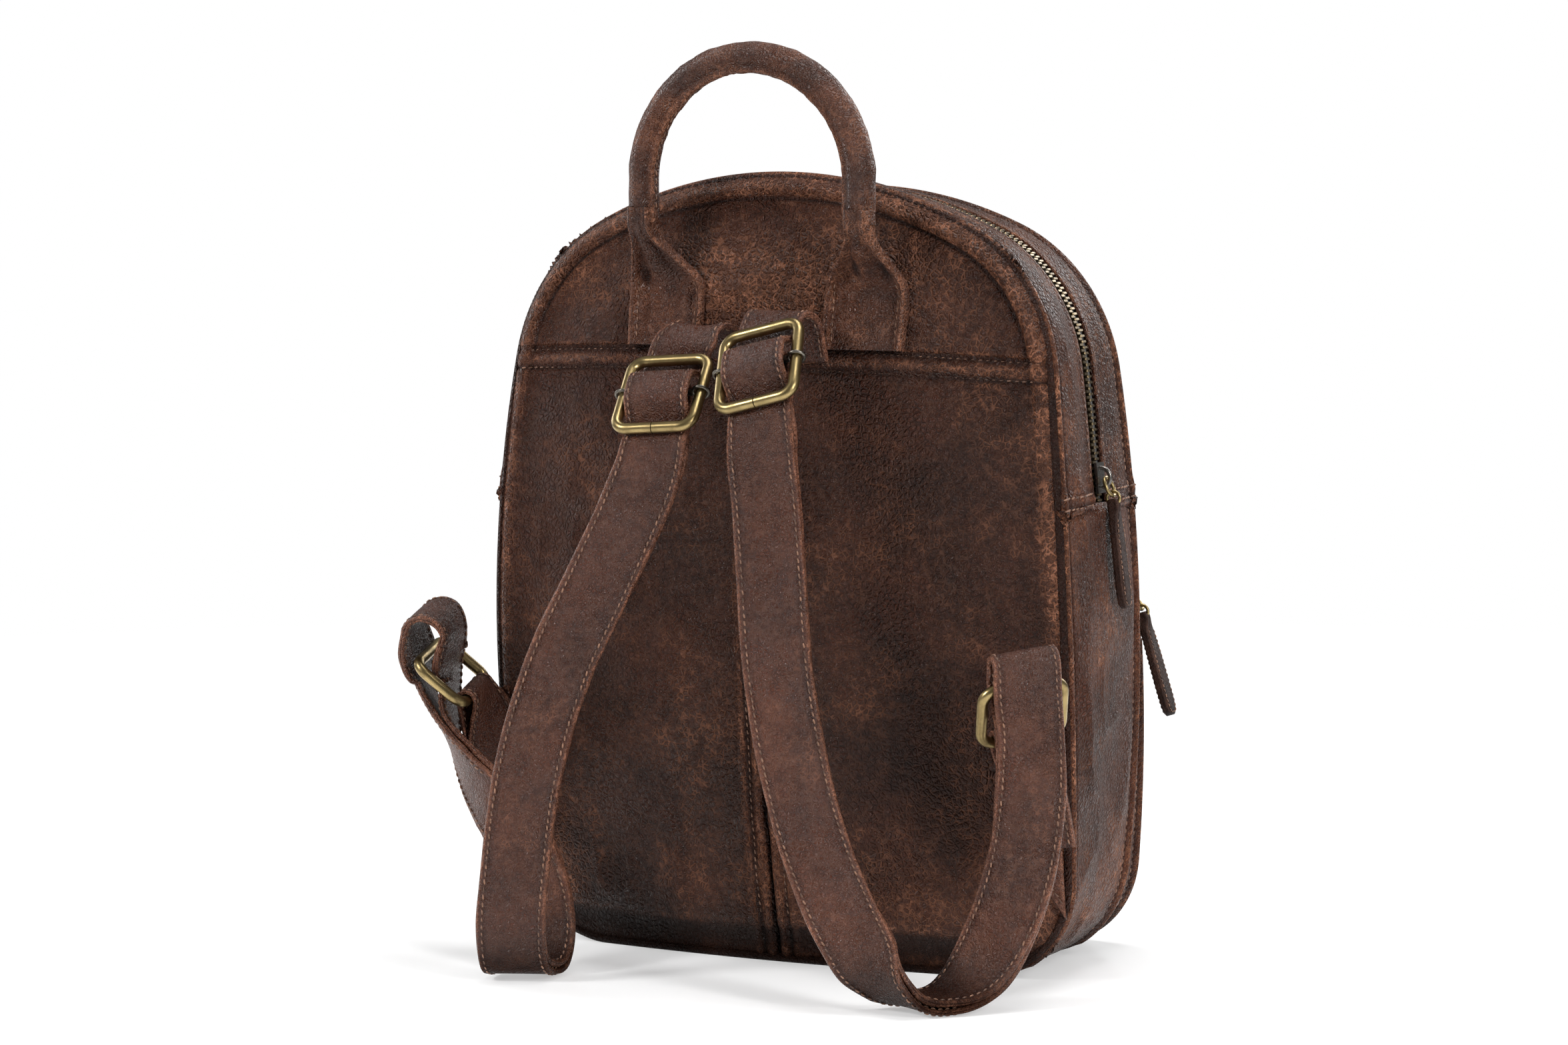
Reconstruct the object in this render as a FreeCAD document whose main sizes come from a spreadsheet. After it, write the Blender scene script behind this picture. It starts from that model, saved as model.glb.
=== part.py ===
"""Leather backpack with a rolled handle, buckled shoulder straps and a zipped front pocket.

Millimetres.  +Z is up, -Y is the harness side that lies on the wearer's back, +Y is the
front pocket side and +X is the wearer's right.  The origin is the middle of the flat base.
"""
import FreeCAD, Part
import Sketcher
import math
import os

from FreeCAD import Placement, Rotation, Vector

DOC = FreeCAD.newDocument("LeatherBackpack")

DIMENSIONS = [
    ("back_half_width", 142, "body form at its back plane: half of its widest width"),
    ("back_height", 341, "body form at its back plane: height"),
    ("front_half_width", 127, "body form at its front plane: half of its widest width"),
    ("front_height", 328, "body form at its front plane: height"),
    ("form_depth", 70, "distance of the two form planes from the zip plane"),
    ("widest_level", 115, "height at which the outline is widest"),
    ("side_radius", 1160, "outline: bulging side"),
    ("corner_radius", 45, "outline: bottom corner"),
    ("shoulder_radius", 75, "outline: shoulder"),
    ("top_radius", 200, "outline: crown of the top"),
    ("leather", 2, "thickness of the body leather"),
    ("tape_depth", 3.2, "inside face of the zip tape and base board, below the outside"),
    ("lining_depth", 4.2, "inside face of the lining, below the outside"),
    ("chain_depth", 0.3, "outside face of the zip teeth, below the outside"),
    ("foam", 4, "thickness of the padding behind the back panel"),
    ("foam_margin", 12, "distance of the padding's edge from the side seams"),
    ("lining", 1, "thickness of the lining"),
    ("back_crown_radius", 700, "bulge of the back panel"),
    ("back_crown", 62, "furthest point of the back panel behind the zip plane"),
    ("back_crown_level", 170, "height of that point"),
    ("front_crown_radius", 845, "bulge of the front panel"),
    ("front_crown", 55, "furthest point of the front panel before the zip plane"),
    ("front_crown_level", 150, "height of that point"),
    ("yoke_level", 262, "seam between the yoke and the lower back panels"),
    ("zip_level", 197, "height at which the main zip ends on both sides"),
    ("base_trim", 0.2, "how much of the body form lies below the floor and is cut off"),
    ("slit", 0.3, "gap between pieces that open apart"),
    ("gusset_edge", 7, "edge of the gusset leather, from the middle of the zip"),
    ("teeth_inner", 1.2, "zip teeth row, near side, from the middle of the zip"),
    ("teeth_outer", 3.4, "zip teeth row, far side"),
    ("tape_outer", 11, "zip tape, far side"),
    ("lining_edge", 8, "edge of the lining, from the middle of the zip"),
    ("pocket_rear", 30, "pocket form: rear plane, before the main zip"),
    ("pocket_front", 90, "pocket form: front plane, before the main zip"),
    ("pocket_rear_half_width", 121, "pocket form at its rear plane: half width"),
    ("pocket_rear_height", 198, "pocket form at its rear plane: height"),
    ("pocket_front_half_width", 116, "pocket form at its front plane: half width"),
    ("pocket_front_height", 194, "pocket form at its front plane: height"),
    ("pocket_widest_level", 90, "pocket outline: height at which it is widest"),
    ("pocket_side_radius", 1100, "pocket outline: side"),
    ("pocket_corner_radius", 40, "pocket outline: bottom corner"),
    ("pocket_shoulder_radius", 60, "pocket outline: shoulder"),
    ("pocket_top_radius", 400, "pocket outline: top"),
    ("pocket_crown_radius", 900, "bulge of the pocket face"),
    ("pocket_crown", 84, "furthest point of the pocket face before the main zip"),
    ("pocket_crown_level", 100, "height of that point"),
    ("pocket_zip_offset", 63, "middle of the pocket zip, before the main zip"),
    ("pocket_zip_level", 137, "height at which the pocket zip ends"),
    ("main_teeth_clear", 219, "main zip: height under which the slider's side has no front teeth"),
    ("pocket_teeth_clear", 161.5, "pocket zip: height under which that side has no front teeth"),
    ("board_length", 170, "stiffener board in the base: length"),
    ("board_width", 58, "stiffener board in the base: width"),
    ("handle_half_span", 52, "handle: half the distance between the two ends"),
    ("handle_offset", 66, "handle: distance behind the zip plane"),
    ("handle_end_level", 326, "handle: lower end of the rolled tube"),
    ("handle_straight", 12, "handle: straight stretch above each end"),
    ("handle_bend", 38, "handle: radius of each shoulder of the arch"),
    ("handle_top_level", 388, "handle: middle of the tube at the top of the arch"),
    ("handle_radius", 6.5, "handle: outside radius of the rolled leather"),
    ("handle_core_radius", 4, "handle: radius of the cord core"),
    ("neck_level", 318, "handle patch: top of the neck that holds the tube"),
    ("patch_centre", 48, "handle patch: distance from the middle"),
    ("patch_width", 37, "handle patch: width"),
    ("patch_top", 302, "handle patch: top of the part that lies on the yoke"),
    ("patch_gap", 0.3, "handle patch: clearance from the yoke"),
    ("patch_thickness", 2.5, "handle patch: thickness"),
    ("patch_hem", 1, "handle patch: how much wider the tongue is than the foot of its neck"),
    ("neck_foot_reach", 12, "handle patch: foot of the neck, before and below the handle's end"),
    ("neck_rise_reach", 8, "handle patch: middle of the neck, before the handle"),
    ("neck_rise_level", 4, "handle patch: middle of the neck, above the tongue"),
    ("neck_rise_shift", 2, "handle patch: middle of the neck, outward of the tongue"),
    ("neck_rise_thin", 2, "handle patch: how much thinner the middle of the neck is"),
    ("neck_top_thin", 0.05, "handle patch: how much flatter the top of the neck is"),
    ("strap_width", 29, "shoulder strap: width"),
    ("strap_thickness", 3, "shoulder strap: thickness of each of its two layers"),
    ("strap_half_gap", 1.9, "shoulder strap: half the distance between its layers"),
    ("strap_end_width", 25, "shoulder strap: width of the end folded round the bar"),
    ("strap_end_thickness", 2, "shoulder strap: thickness of that end"),
    ("wire_radius", 2.4, "buckles and rings: radius of the brass wire"),
    ("frame_width", 34.8, "buckles and rings: distance between side bars"),
    ("frame_height", 38, "buckles: distance between top and bottom bars"),
    ("ring_height", 26.5, "lower rings: distance between top and bottom bars"),
    ("wire_bend", 6, "buckles and rings: bend radius at the corners"),
    ("wire_joint", 0.4, "buckles and rings: gap where the wire's ends meet"),
    ("bar_radius", 1.5, "buckles: radius of the sliding bar"),
    ("eyelet_radius", 3.4, "buckles: radius of the sliding bar's eyelets"),
    ("eyelet_wire", 0.75, "buckles: wire radius of those eyelets"),
    ("loop_thickness", 2, "ring loops: thickness"),
    ("loop_play", 0.5, "ring loops: clearance round the ring"),
    ("loop_width", 25, "ring loops: width"),
    ("wing_thickness", 2.4, "strap anchors: thickness of the triangular wing"),
    ("slider_level", 211, "main zip slider: height when the zip is closed"),
    ("slider_length", 13, "zip sliders: length"),
    ("slider_width", 9, "zip sliders: width"),
    ("plate", 1.2, "zip sliders: thickness of the outer plate"),
    ("plate_gap", 0.3, "zip sliders: clearance of the outer plate from the leather"),
    ("neck_width", 1.6, "zip sliders: width of the neck between the rows of teeth"),
    ("inner_plate_depth", 3.8, "zip sliders: outer face of the inner plate, below the outside"),
    ("inner_plate", 1, "zip sliders: thickness of the inner plate"),
    ("inner_plate_reach", 5, "zip sliders: half length of the inner plate and the neck's end"),
    ("root_overlap", 0.5, "zip sliders: how far the neck runs into both plates"),
    ("bridge_overlap", 0.2, "zip sliders: how far the bridge runs into the outer plate"),
    ("bridge_radius", 4.2, "zip sliders: radius of the bridge"),
    ("bridge_wire", 0.9, "zip sliders: wire radius of the bridge"),
    ("puller_radius", 4.2, "zip pulls: radius of the wire loop under the bridge"),
    ("puller_wire", 0.8, "zip pulls: wire radius of that loop"),
    ("puller_tilt", 25, "main zip pull: how far that loop stands out, in degrees"),
    ("pocket_puller_tilt", 45, "pocket zip pull: how far its loop stands out, in degrees"),
    ("jump_radius", 2.8, "zip pulls: radius of the jump ring"),
    ("jump_wire", 0.7, "zip pulls: wire radius of the jump ring"),
    ("tab_length", 44, "zip pulls: length of the leather tab below its eye"),
    ("tab_width", 11, "zip pulls: width of the tab"),
    ("tab_thickness", 4.6, "zip pulls: thickness of the folded tab"),
    ("tab_eye", 2.9, "zip pulls: outside radius of the tab's eye"),
    ("tab_bore", 1.7, "zip pulls: bore of that eye"),
    ("eye_width", 3.6, "zip pulls: length of that eye"),
    ("throat_overlap", 1, "zip pulls: how far the throat runs into the tab"),
    ("ring_play", 0.3, "zip pulls: clearance between the wire loop and the jump ring"),
    ("hook_play", 0.6, "zip pulls: clearance between the bridge and the wire loop"),
    ("pocket_slider_angle", 22.5, "pocket zip slider: place on the pocket's shoulder, in degrees"),
    ("tab_tilt", 7, "main zip pull: how far the tab leans out along the side, in degrees"),
    ("pocket_tab_tilt", 17, "pocket zip pull: how far its tab leans out, in degrees"),
]


# ---------------------------------------------------------------- sheet and helpers

def make_sheet():
    """Put every driving dimension into the document's spreadsheet."""
    sheet = DOC.addObject("Spreadsheet::Sheet", "Size")
    for row, (alias, number, note) in enumerate(DIMENSIONS, start=1):
        sheet.set("A%d" % row, alias)
        sheet.set("B%d" % row, str(number))
        sheet.setAlias("B%d" % row, alias)
        sheet.set("C%d" % row, note)
    DOC.recompute()
    return sheet


SHEET = make_sheet()


def size(formula):
    """Return the number that a formula of sheet cells stands for now."""
    return float(SHEET.evalExpression(formula))


def bind(item, **formulas):
    """Bind properties of a document object to formulas of sheet cells."""
    for name, formula in formulas.items():
        item.setExpression(name.replace("__", "."), formula)
    return item


def move(item, x="0", y="0", z="0"):
    """Bind where a document object lies to formulas of sheet cells."""
    return bind(item, Placement__Base__x=x, Placement__Base__y=y, Placement__Base__z=z)


def join(kind, label, *pieces):
    """Make one boolean of two or more document objects."""
    result = DOC.addObject("Part::" + kind, label)
    result.Label = label
    if kind == "MultiFuse":
        result.Shapes = list(pieces)
    else:
        result.Base = pieces[0]
        result.Tool = pieces[1]
    return result


def common(label, first, *others):
    """Intersect document objects one after another; the last result has the label."""
    result = first
    for count, other in enumerate(others, start=1):
        last = count == len(others)
        result = join("Common", label if last else "%s_step_%d" % (label, count), result, other)
    return result


def region(label, x=("-300", "300"), y=("-300", "300"), z=("-50", "500")):
    """Make a box between pairs of formulas along X, Y and Z."""
    box = DOC.addObject("Part::Box", label)
    bind(box, Length="(%s) - (%s)" % (x[1], x[0]), Width="(%s) - (%s)" % (y[1], y[0]))
    bind(box, Height="(%s) - (%s)" % (z[1], z[0]))
    return move(box, x[0], y[0], z[0])


def ball(label, radius, y, z):
    """Make a large sphere whose near side is the bulge of a panel."""
    sphere = DOC.addObject("Part::Sphere", label)
    bind(sphere, Radius=radius)
    return move(sphere, "0", y, z)


def plane_sketch(body, plane, label, offset="0"):
    """Start a sketch on one of a body's own origin planes."""
    sketch = body.newObject("Sketcher::SketchObject", label)
    support = [item for item in body.Origin.OriginFeatures if item.Role == plane][0]
    sketch.AttachmentSupport = (support, "")
    sketch.MapMode = "FlatFace"
    sketch.setExpression("AttachmentOffset.Base.z", offset)
    return sketch


def constrain(sketch, name, formula, *arguments):
    """Add a driving dimension to a sketch and bind it to a formula of sheet cells."""
    index = sketch.addConstraint(Sketcher.Constraint(*arguments, size(formula)))
    sketch.renameConstraint(index, name)
    sketch.setExpression("Constraints." + name, formula)


# ---------------------------------------------------------------- arched outline

def arch_centres(shape):
    """Return the arc centres and joints of the right half of an arched outline."""
    half, level, side = shape["half_width"], shape["widest"], shape["side"]
    corner, shoulder, top = shape["corner"], shape["shoulder"], shape["top"]
    side_centre = Vector(half - side, level)
    drop = level - shape["bottom"] - corner
    reach = math.sqrt((side - corner) ** 2 - drop ** 2)
    corner_centre = Vector(side_centre.x + reach, shape["bottom"] + corner)
    top_centre = Vector(0, shape["height"] - top)
    link = side_centre - top_centre
    span, near, far = link.Length, top - shoulder, side - shoulder
    along = (near ** 2 - far ** 2 + span ** 2) / (2 * span)
    rise = math.sqrt(near ** 2 - along ** 2)
    link.normalize()
    shoulder_centre = top_centre + link * along + Vector(-link.y, link.x) * -rise
    low_joint = side_centre + (corner_centre - side_centre) * (side / (side - corner))
    mid_joint = side_centre + (shoulder_centre - side_centre) * (side / far)
    high_joint = top_centre + (shoulder_centre - top_centre) * (top / near)
    return {"side": side_centre, "corner": corner_centre, "shoulder": shoulder_centre,
            "top": top_centre, "low": low_joint, "mid": mid_joint, "high": high_joint}


def arch_numbers(shape):
    """Turn the formulas of an arched outline into numbers."""
    return {name: size(formula) for name, formula in shape.items()}


def arch_sketch(body, label, offset, shape):
    """Draw a closed arched outline: flat base, round corners, sides, shoulders and top."""
    numbers = arch_numbers(shape)
    at = arch_centres(numbers)
    sketch = plane_sketch(body, "XZ_Plane", label, offset)

    def arc(centre, radius, start, end, mirrored=False):
        first = math.atan2(start.y - centre.y, start.x - centre.x)
        last = math.atan2(end.y - centre.y, end.x - centre.x)
        middle = Vector(centre)
        if mirrored:
            middle.x = -middle.x
            first, last = math.pi - last, math.pi - first
        sketch.addGeometry(Part.ArcOfCircle(Part.Circle(middle, Vector(0, 0, 1), radius), first, last))

    foot = Vector(at["corner"].x, numbers["bottom"])
    crown_left = Vector(-at["high"].x, at["high"].y)
    sketch.addGeometry(Part.LineSegment(Vector(-foot.x, foot.y), foot))
    arc(at["corner"], numbers["corner"], foot, at["low"])
    arc(at["side"], numbers["side"], at["low"], at["mid"])
    arc(at["shoulder"], numbers["shoulder"], at["mid"], at["high"])
    arc(at["top"], numbers["top"], at["high"], crown_left)
    arc(at["shoulder"], numbers["shoulder"], at["mid"], at["high"], mirrored=True)
    arc(at["side"], numbers["side"], at["low"], at["mid"], mirrored=True)
    arc(at["corner"], numbers["corner"], foot, at["low"], mirrored=True)

    edges = 8
    for edge in range(edges):
        sketch.addConstraint(Sketcher.Constraint("Tangent", edge, 2, (edge + 1) % edges, 1))
    sketch.addConstraint(Sketcher.Constraint("Symmetric", 0, 1, 0, 2, -2))
    for right, left in ((1, 7), (2, 6), (3, 5)):
        sketch.addConstraint(Sketcher.Constraint("Equal", right, left))
    sketch.addConstraint(Sketcher.Constraint("PointOnObject", 4, 3, -2))
    constrain(sketch, "corner", shape["corner"], "Radius", 1)
    constrain(sketch, "side", shape["side"], "Radius", 2)
    constrain(sketch, "shoulder", shape["shoulder"], "Radius", 3)
    constrain(sketch, "top", shape["top"], "Radius", 4)
    constrain(sketch, "top_level", "(%s) - (%s)" % (shape["height"], shape["top"]),
              "DistanceY", -1, 1, 4, 3)
    constrain(sketch, "side_reach", "(%s) - (%s)" % (shape["side"], shape["half_width"]),
              "DistanceX", 2, 3, -1, 1)
    constrain(sketch, "widest", shape["widest"], "DistanceY", -1, 1, 2, 3)
    constrain(sketch, "widest_left", shape["widest"], "DistanceY", -1, 1, 6, 3)
    if numbers["bottom"]:
        constrain(sketch, "bottom", shape["bottom"], "DistanceY", -1, 1, 0, 1)
    else:
        sketch.addConstraint(Sketcher.Constraint("PointOnObject", 0, 1, -1))
    return sketch


def arch_shape(prefix, plane, inset, sunk="0"):
    """Return the formulas of the body's or the pocket's outline, set in by a formula.

    sunk is the formula of how far the base lies below its own level.
    """
    radius = "Size." + prefix
    shape = {
        "half_width": "Size.%shalf_width - (%s)" % (plane, inset),
        "height": "Size.%sheight - (%s)" % (plane, inset),
        "widest": radius + "widest_level",
        "bottom": "%s - %s" % (inset, sunk) if sunk != "0" else inset,
    }
    for name in ("side", "corner", "shoulder", "top"):
        shape[name] = "%s%s_radius - (%s)" % (radius, name, inset)
    return shape


def arch_form(label, prefix, planes, inset, sunk="0"):
    """Loft an arched form between its rear and its front outline."""
    body = DOC.addObject("PartDesign::Body", label)
    sketches = []
    for plane, offset in planes:
        name = "%s_%soutline" % (label, plane)
        shape = arch_shape(prefix, plane, inset, sunk)
        sketches.append(arch_sketch(body, name, offset, shape))
    loft = body.newObject("PartDesign::AdditiveLoft", label + "_loft")
    loft.Profile = sketches[0]
    loft.Sections = sketches[1:]
    loft.Ruled = True
    return body


BODY_PLANES = (("back_", "Size.form_depth"), ("front_", "-Size.form_depth"))
POCKET_PLANES = (("pocket_rear_", "-Size.pocket_rear"), ("pocket_front_", "-Size.pocket_front"))


def body_form(label, inset, sunk="0"):
    """Make the body's form, set in by a formula."""
    return arch_form(label, "", BODY_PLANES, inset, sunk)


def pocket_form(label, inset):
    """Make the pocket's form, set in by a formula."""
    return arch_form(label, "pocket_", POCKET_PLANES, inset)


def back_ball(label, depth):
    """Make the sphere of the back panel's bulge, set in by a formula."""
    return ball(label, "Size.back_crown_radius - (%s)" % depth,
                "Size.back_crown_radius - Size.back_crown", "Size.back_crown_level")


def front_ball(label, depth):
    """Make the sphere of the front panel's bulge, set in by a formula."""
    return ball(label, "Size.front_crown_radius - (%s)" % depth,
                "Size.front_crown - Size.front_crown_radius", "Size.front_crown_level")


def pocket_ball(label, depth):
    """Make the sphere of the pocket face's bulge, set in by a formula."""
    return ball(label, "Size.pocket_crown_radius - (%s)" % depth,
                "Size.pocket_crown - Size.pocket_crown_radius", "Size.pocket_crown_level")


# ---------------------------------------------------------------- body shell

def zip_rows(label, layer, middle, level, sides, clear=None):
    """Cut a layer into the strips of a zip: two rows of teeth or two tapes.

    clear is the formula of the height under which the front strip's right end is left out,
    so that the strip swings away from the slider.
    """
    strips = []
    for side, (near, far) in sides.items():
        name = "%s_%s" % (label, side)
        away = ("%s + (%s)" % (middle, near), "%s + (%s)" % (middle, far))
        piece = region(name + "_region", y=away, z=(level, "500"))
        if clear and side == "front":
            beside = region(name + "_slider_region", x=("0", "300"), z=("-50", clear))
            piece = join("Cut", name + "_clear_region", piece, beside)
        strips.append(common(name, layer, piece))
    return strips


def zip_sides(near, far):
    """Return the rear and front strips between two distances from a zip's middle."""
    return {"rear": ("-Size." + far, "-Size." + near), "front": ("Size." + near, "Size." + far)}


def make_body():
    """Make the panels, gussets, zip, padding, lining and base board of the main bag."""
    sunk = body_form("body_sunk", "0", "Size.base_trim")
    outer = common("body_outer", sunk, region("body_above_floor", z=("0", "500")))
    inner = body_form("body_inner", "Size.leather")
    chain = body_form("body_chain", "Size.chain_depth")
    tape = body_form("body_tape", "Size.tape_depth")
    inside = body_form("body_inside", "Size.lining_depth")
    back_outer = back_ball("back_outer", "0")
    back_inner = back_ball("back_inner", "Size.leather")
    back_padded = back_ball("back_padded", "Size.leather + Size.foam")
    back_inside = back_ball("back_inside", "Size.leather + Size.foam + Size.lining")
    front_outer = front_ball("front_outer", "0")
    front_inner = front_ball("front_inner", "Size.leather")
    front_inside = front_ball("front_inside", "Size.leather + Size.lining")

    hull = common("body_hull", outer, back_outer, front_outer)
    back_skin = join("Cut", "back_skin", hull, back_inner)
    front_skin = join("Cut", "front_skin", hull, front_inner)
    between = common("side_solid", outer, back_inner, front_inner)
    side_skin = join("Cut", "side_skin", between, inner)

    level = "Size.zip_level"
    opened = "Size.zip_level + Size.slit"
    edge = "Size.gusset_edge"
    nodes = [
        common("back_yoke_panel", back_skin, region("yoke_region", z=("Size.yoke_level", "500"))),
        common("back_lower_panel_left", back_skin,
               region("lower_left_region", x=("-300", "0"), z=("-50", "Size.yoke_level"))),
        common("back_lower_panel_right", back_skin,
               region("lower_right_region", x=("0", "300"), z=("-50", "Size.yoke_level"))),
        common("rear_gusset", side_skin,
               region("rear_gusset_region", y=("-300", "-" + edge), z=(level, "500"))),
        common("front_gusset", side_skin,
               region("front_gusset_region", y=(edge, "300"), z=(opened, "500"))),
        common("base_gusset", side_skin, region("base_gusset_region", z=("-50", level))),
        common("front_panel_upper", front_skin, region("front_upper_region", z=(opened, "500"))),
        common("front_panel_lower", front_skin, region("front_lower_region", z=("-50", level))),
    ]

    padding = join("Cut", "padding", common("padding_solid", inner, back_inner), back_padded)
    outline = body_form("foam_outline", "Size.foam_margin")
    nodes.append(common("back_foam_pad", padding, outline))

    inside_solid = common("lining_solid", tape, back_padded, front_inner)
    hollow = common("lining_hollow", inside, back_inside, front_inside)
    lining = join("Cut", "lining_skin", inside_solid, hollow)
    lower = common("lining_lower", lining, region("lining_lower_region", z=("-50", level)))
    rear = common("lining_rear", lining,
                  region("lining_rear_region", y=("-300", "-Size.lining_edge"), z=(level, "500")))
    nodes.append(join("MultiFuse", "main_lining", lower, rear))
    nodes.append(common("flap_lining", lining,
                        region("flap_lining_region", y=("Size.lining_edge", "300"),
                               z=(opened, "500"))))

    board = region("base_board", x=("-Size.board_length / 2", "Size.board_length / 2"),
                   y=("-Size.board_width / 2", "Size.board_width / 2"),
                   z=("Size.leather", "Size.tape_depth"))
    nodes.append(board)

    teeth = join("Cut", "teeth_skin", chain, inner)
    tapes = join("Cut", "tape_skin", inner, tape)
    nodes += zip_rows("main_zip_teeth", teeth, "0", opened,
                      zip_sides("teeth_inner", "teeth_outer"), "Size.main_teeth_clear")
    nodes += zip_rows("main_zip_tape", tapes, "0", opened, zip_sides("teeth_inner", "tape_outer"))
    return nodes


def make_pocket():
    """Make the faces, gusset strips and zip of the front pocket."""
    outer = pocket_form("pocket_outer", "0")
    inner = pocket_form("pocket_inner", "Size.leather")
    chain = pocket_form("pocket_chain", "Size.chain_depth")
    tape = pocket_form("pocket_tape", "Size.tape_depth")
    face_outer = pocket_ball("face_outer", "0")
    face_inner = pocket_ball("face_inner", "Size.leather")
    clear_of_body = front_ball("pocket_clearance", "-Size.slit")

    hull = common("pocket_hull", outer, face_outer)
    face = join("Cut", "face_skin", hull, face_inner)
    side_solid = common("pocket_side_solid", outer, face_inner)
    side_hollow = join("Cut", "pocket_side_hollow", side_solid, inner)
    side_skin = join("Cut", "pocket_side_skin", side_hollow, clear_of_body)

    level = "Size.pocket_zip_level"
    opened = "Size.pocket_zip_level + Size.slit"
    middle = "Size.pocket_zip_offset"
    edge = "(Size.gusset_edge - 2)"
    nodes = [
        common("pocket_face_upper", face, region("face_upper_region", z=(opened, "500"))),
        common("pocket_face_lower", face, region("face_lower_region", z=("-50", level))),
        common("pocket_base_gusset", side_skin, region("pocket_base_region", z=("-50", level))),
        common("pocket_rear_strip", side_skin,
               region("pocket_rear_region", y=("-300", "%s - %s" % (middle, edge)),
                      z=(level, "500"))),
        common("pocket_front_strip", side_skin,
               region("pocket_front_region", y=("%s + %s" % (middle, edge), "300"),
                      z=(opened, "500"))),
    ]
    teeth = join("Cut", "pocket_teeth_skin", chain, inner)
    tapes = join("Cut", "pocket_tape_skin", inner, tape)
    nodes += zip_rows("pocket_zip_teeth", teeth, middle, opened,
                      zip_sides("teeth_inner", "teeth_outer"), "Size.pocket_teeth_clear")
    nodes += zip_rows("pocket_zip_tape", tapes, middle, opened,
                      {"rear": ("-Size.lining_edge", "-Size.teeth_inner"),
                       "front": ("Size.teeth_inner", "Size.lining_edge")})
    return nodes


# ---------------------------------------------------------------- handle

def handle_tube(label, outside, inside):
    """Sweep the handle's arched tube; inside is the formula of its bore, or None."""
    body = DOC.addObject("PartDesign::Body", label)
    path = plane_sketch(body, "XZ_Plane", label + "_path", "Size.handle_offset")
    span, end = size("Size.handle_half_span"), size("Size.handle_end_level")
    bend = size("Size.handle_bend")
    start = end + size("Size.handle_straight")
    reach = span - bend
    drop_formula = "(Size.handle_top_level - Size.handle_end_level - Size.handle_straight)"
    top_formula = ("((Size.handle_half_span - Size.handle_bend)^2 + %s^2 - Size.handle_bend^2)"
                   " / (2 * (%s - Size.handle_bend))" % (drop_formula, drop_formula))
    top = size(top_formula)
    centre = Vector(0, size("Size.handle_top_level") - top)
    corner = Vector(reach, start)
    turn = math.atan2(corner.y - centre.y, corner.x - centre.x)
    axis = Vector(0, 0, 1)
    path.addGeometry(Part.LineSegment(Vector(span, end), Vector(span, start)))
    path.addGeometry(Part.ArcOfCircle(Part.Circle(corner, axis, bend), 0, turn))
    path.addGeometry(Part.ArcOfCircle(Part.Circle(centre, axis, top), turn, math.pi - turn))
    left = Vector(-reach, start)
    path.addGeometry(Part.ArcOfCircle(Part.Circle(left, axis, bend), math.pi - turn, math.pi))
    path.addGeometry(Part.LineSegment(Vector(-span, start), Vector(-span, end)))
    for edge in range(4):
        path.addConstraint(Sketcher.Constraint("Tangent", edge, 2, edge + 1, 1))
    path.addConstraint(Sketcher.Constraint("Vertical", 0))
    path.addConstraint(Sketcher.Constraint("Vertical", 4))
    path.addConstraint(Sketcher.Constraint("Symmetric", 0, 1, 4, 2, -2))
    path.addConstraint(Sketcher.Constraint("PointOnObject", 2, 3, -2))
    path.addConstraint(Sketcher.Constraint("Equal", 1, 3))
    constrain(path, "bend", "Size.handle_bend", "Radius", 1)
    constrain(path, "half_span", "Size.handle_half_span", "DistanceX", -1, 1, 0, 1)
    constrain(path, "end_level", "Size.handle_end_level", "DistanceY", -1, 1, 0, 1)
    constrain(path, "straight", "Size.handle_straight", "DistanceY", 0, 1, 0, 2)
    constrain(path, "top", top_formula, "Radius", 2)

    profile = plane_sketch(body, "XY_Plane", label + "_profile", "Size.handle_end_level")
    radii = {"outside": outside, "inside": inside} if inside else {"outside": outside}
    for index, (name, formula) in enumerate(radii.items()):
        middle = Vector(span, -size("Size.handle_offset"))
        profile.addGeometry(Part.Circle(middle, axis, size(formula)))
        constrain(profile, name, formula, "Radius", index)
        constrain(profile, name + "_x", "Size.handle_half_span", "DistanceX", -1, 1, index, 3)
        constrain(profile, name + "_y", "Size.handle_offset", "DistanceY", index, 3, -1, 1)
    pipe = body.newObject("PartDesign::AdditivePipe", label + "_pipe")
    pipe.Profile = profile
    pipe.Spine = path
    return body


def patch_outline(label, sign):
    """Pad the tongue outline of a handle patch through the yoke's bulge."""
    body = DOC.addObject("PartDesign::Body", label)
    sketch = plane_sketch(body, "XZ_Plane", label + "_sketch")
    middle, half = sign * size("Size.patch_centre"), size("Size.patch_width") / 2
    low, high = size("Size.yoke_level"), size("Size.patch_top")
    corners = [Vector(middle - half, low), Vector(middle + half, low),
               Vector(middle + half, high), Vector(middle - half, high)]
    for start, end in zip(corners, corners[1:] + corners[:1]):
        sketch.addGeometry(Part.LineSegment(start, end))
    for edge in range(4):
        sketch.addConstraint(Sketcher.Constraint("Coincident", edge, 2, (edge + 1) % 4, 1))
    for kind, edge in (("Horizontal", 0), ("Vertical", 1), ("Horizontal", 2), ("Vertical", 3)):
        sketch.addConstraint(Sketcher.Constraint(kind, edge))
    constrain(sketch, "low", "Size.yoke_level", "DistanceY", -1, 1, 0, 1)
    constrain(sketch, "high", "Size.patch_top", "DistanceY", -1, 1, 2, 1)
    constrain(sketch, "width", "Size.patch_width", "DistanceX", 0, 1, 0, 2)
    near = "Size.patch_centre - Size.patch_width / 2"
    if sign > 0:
        constrain(sketch, "near", near, "DistanceX", -1, 1, 0, 1)
    else:
        constrain(sketch, "near", near, "DistanceX", 0, 2, -1, 1)
    pad = body.newObject("PartDesign::Pad", label + "_pad")
    pad.Profile = sketch
    pad.setExpression("Length", "Size.form_depth")
    return body


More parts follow.
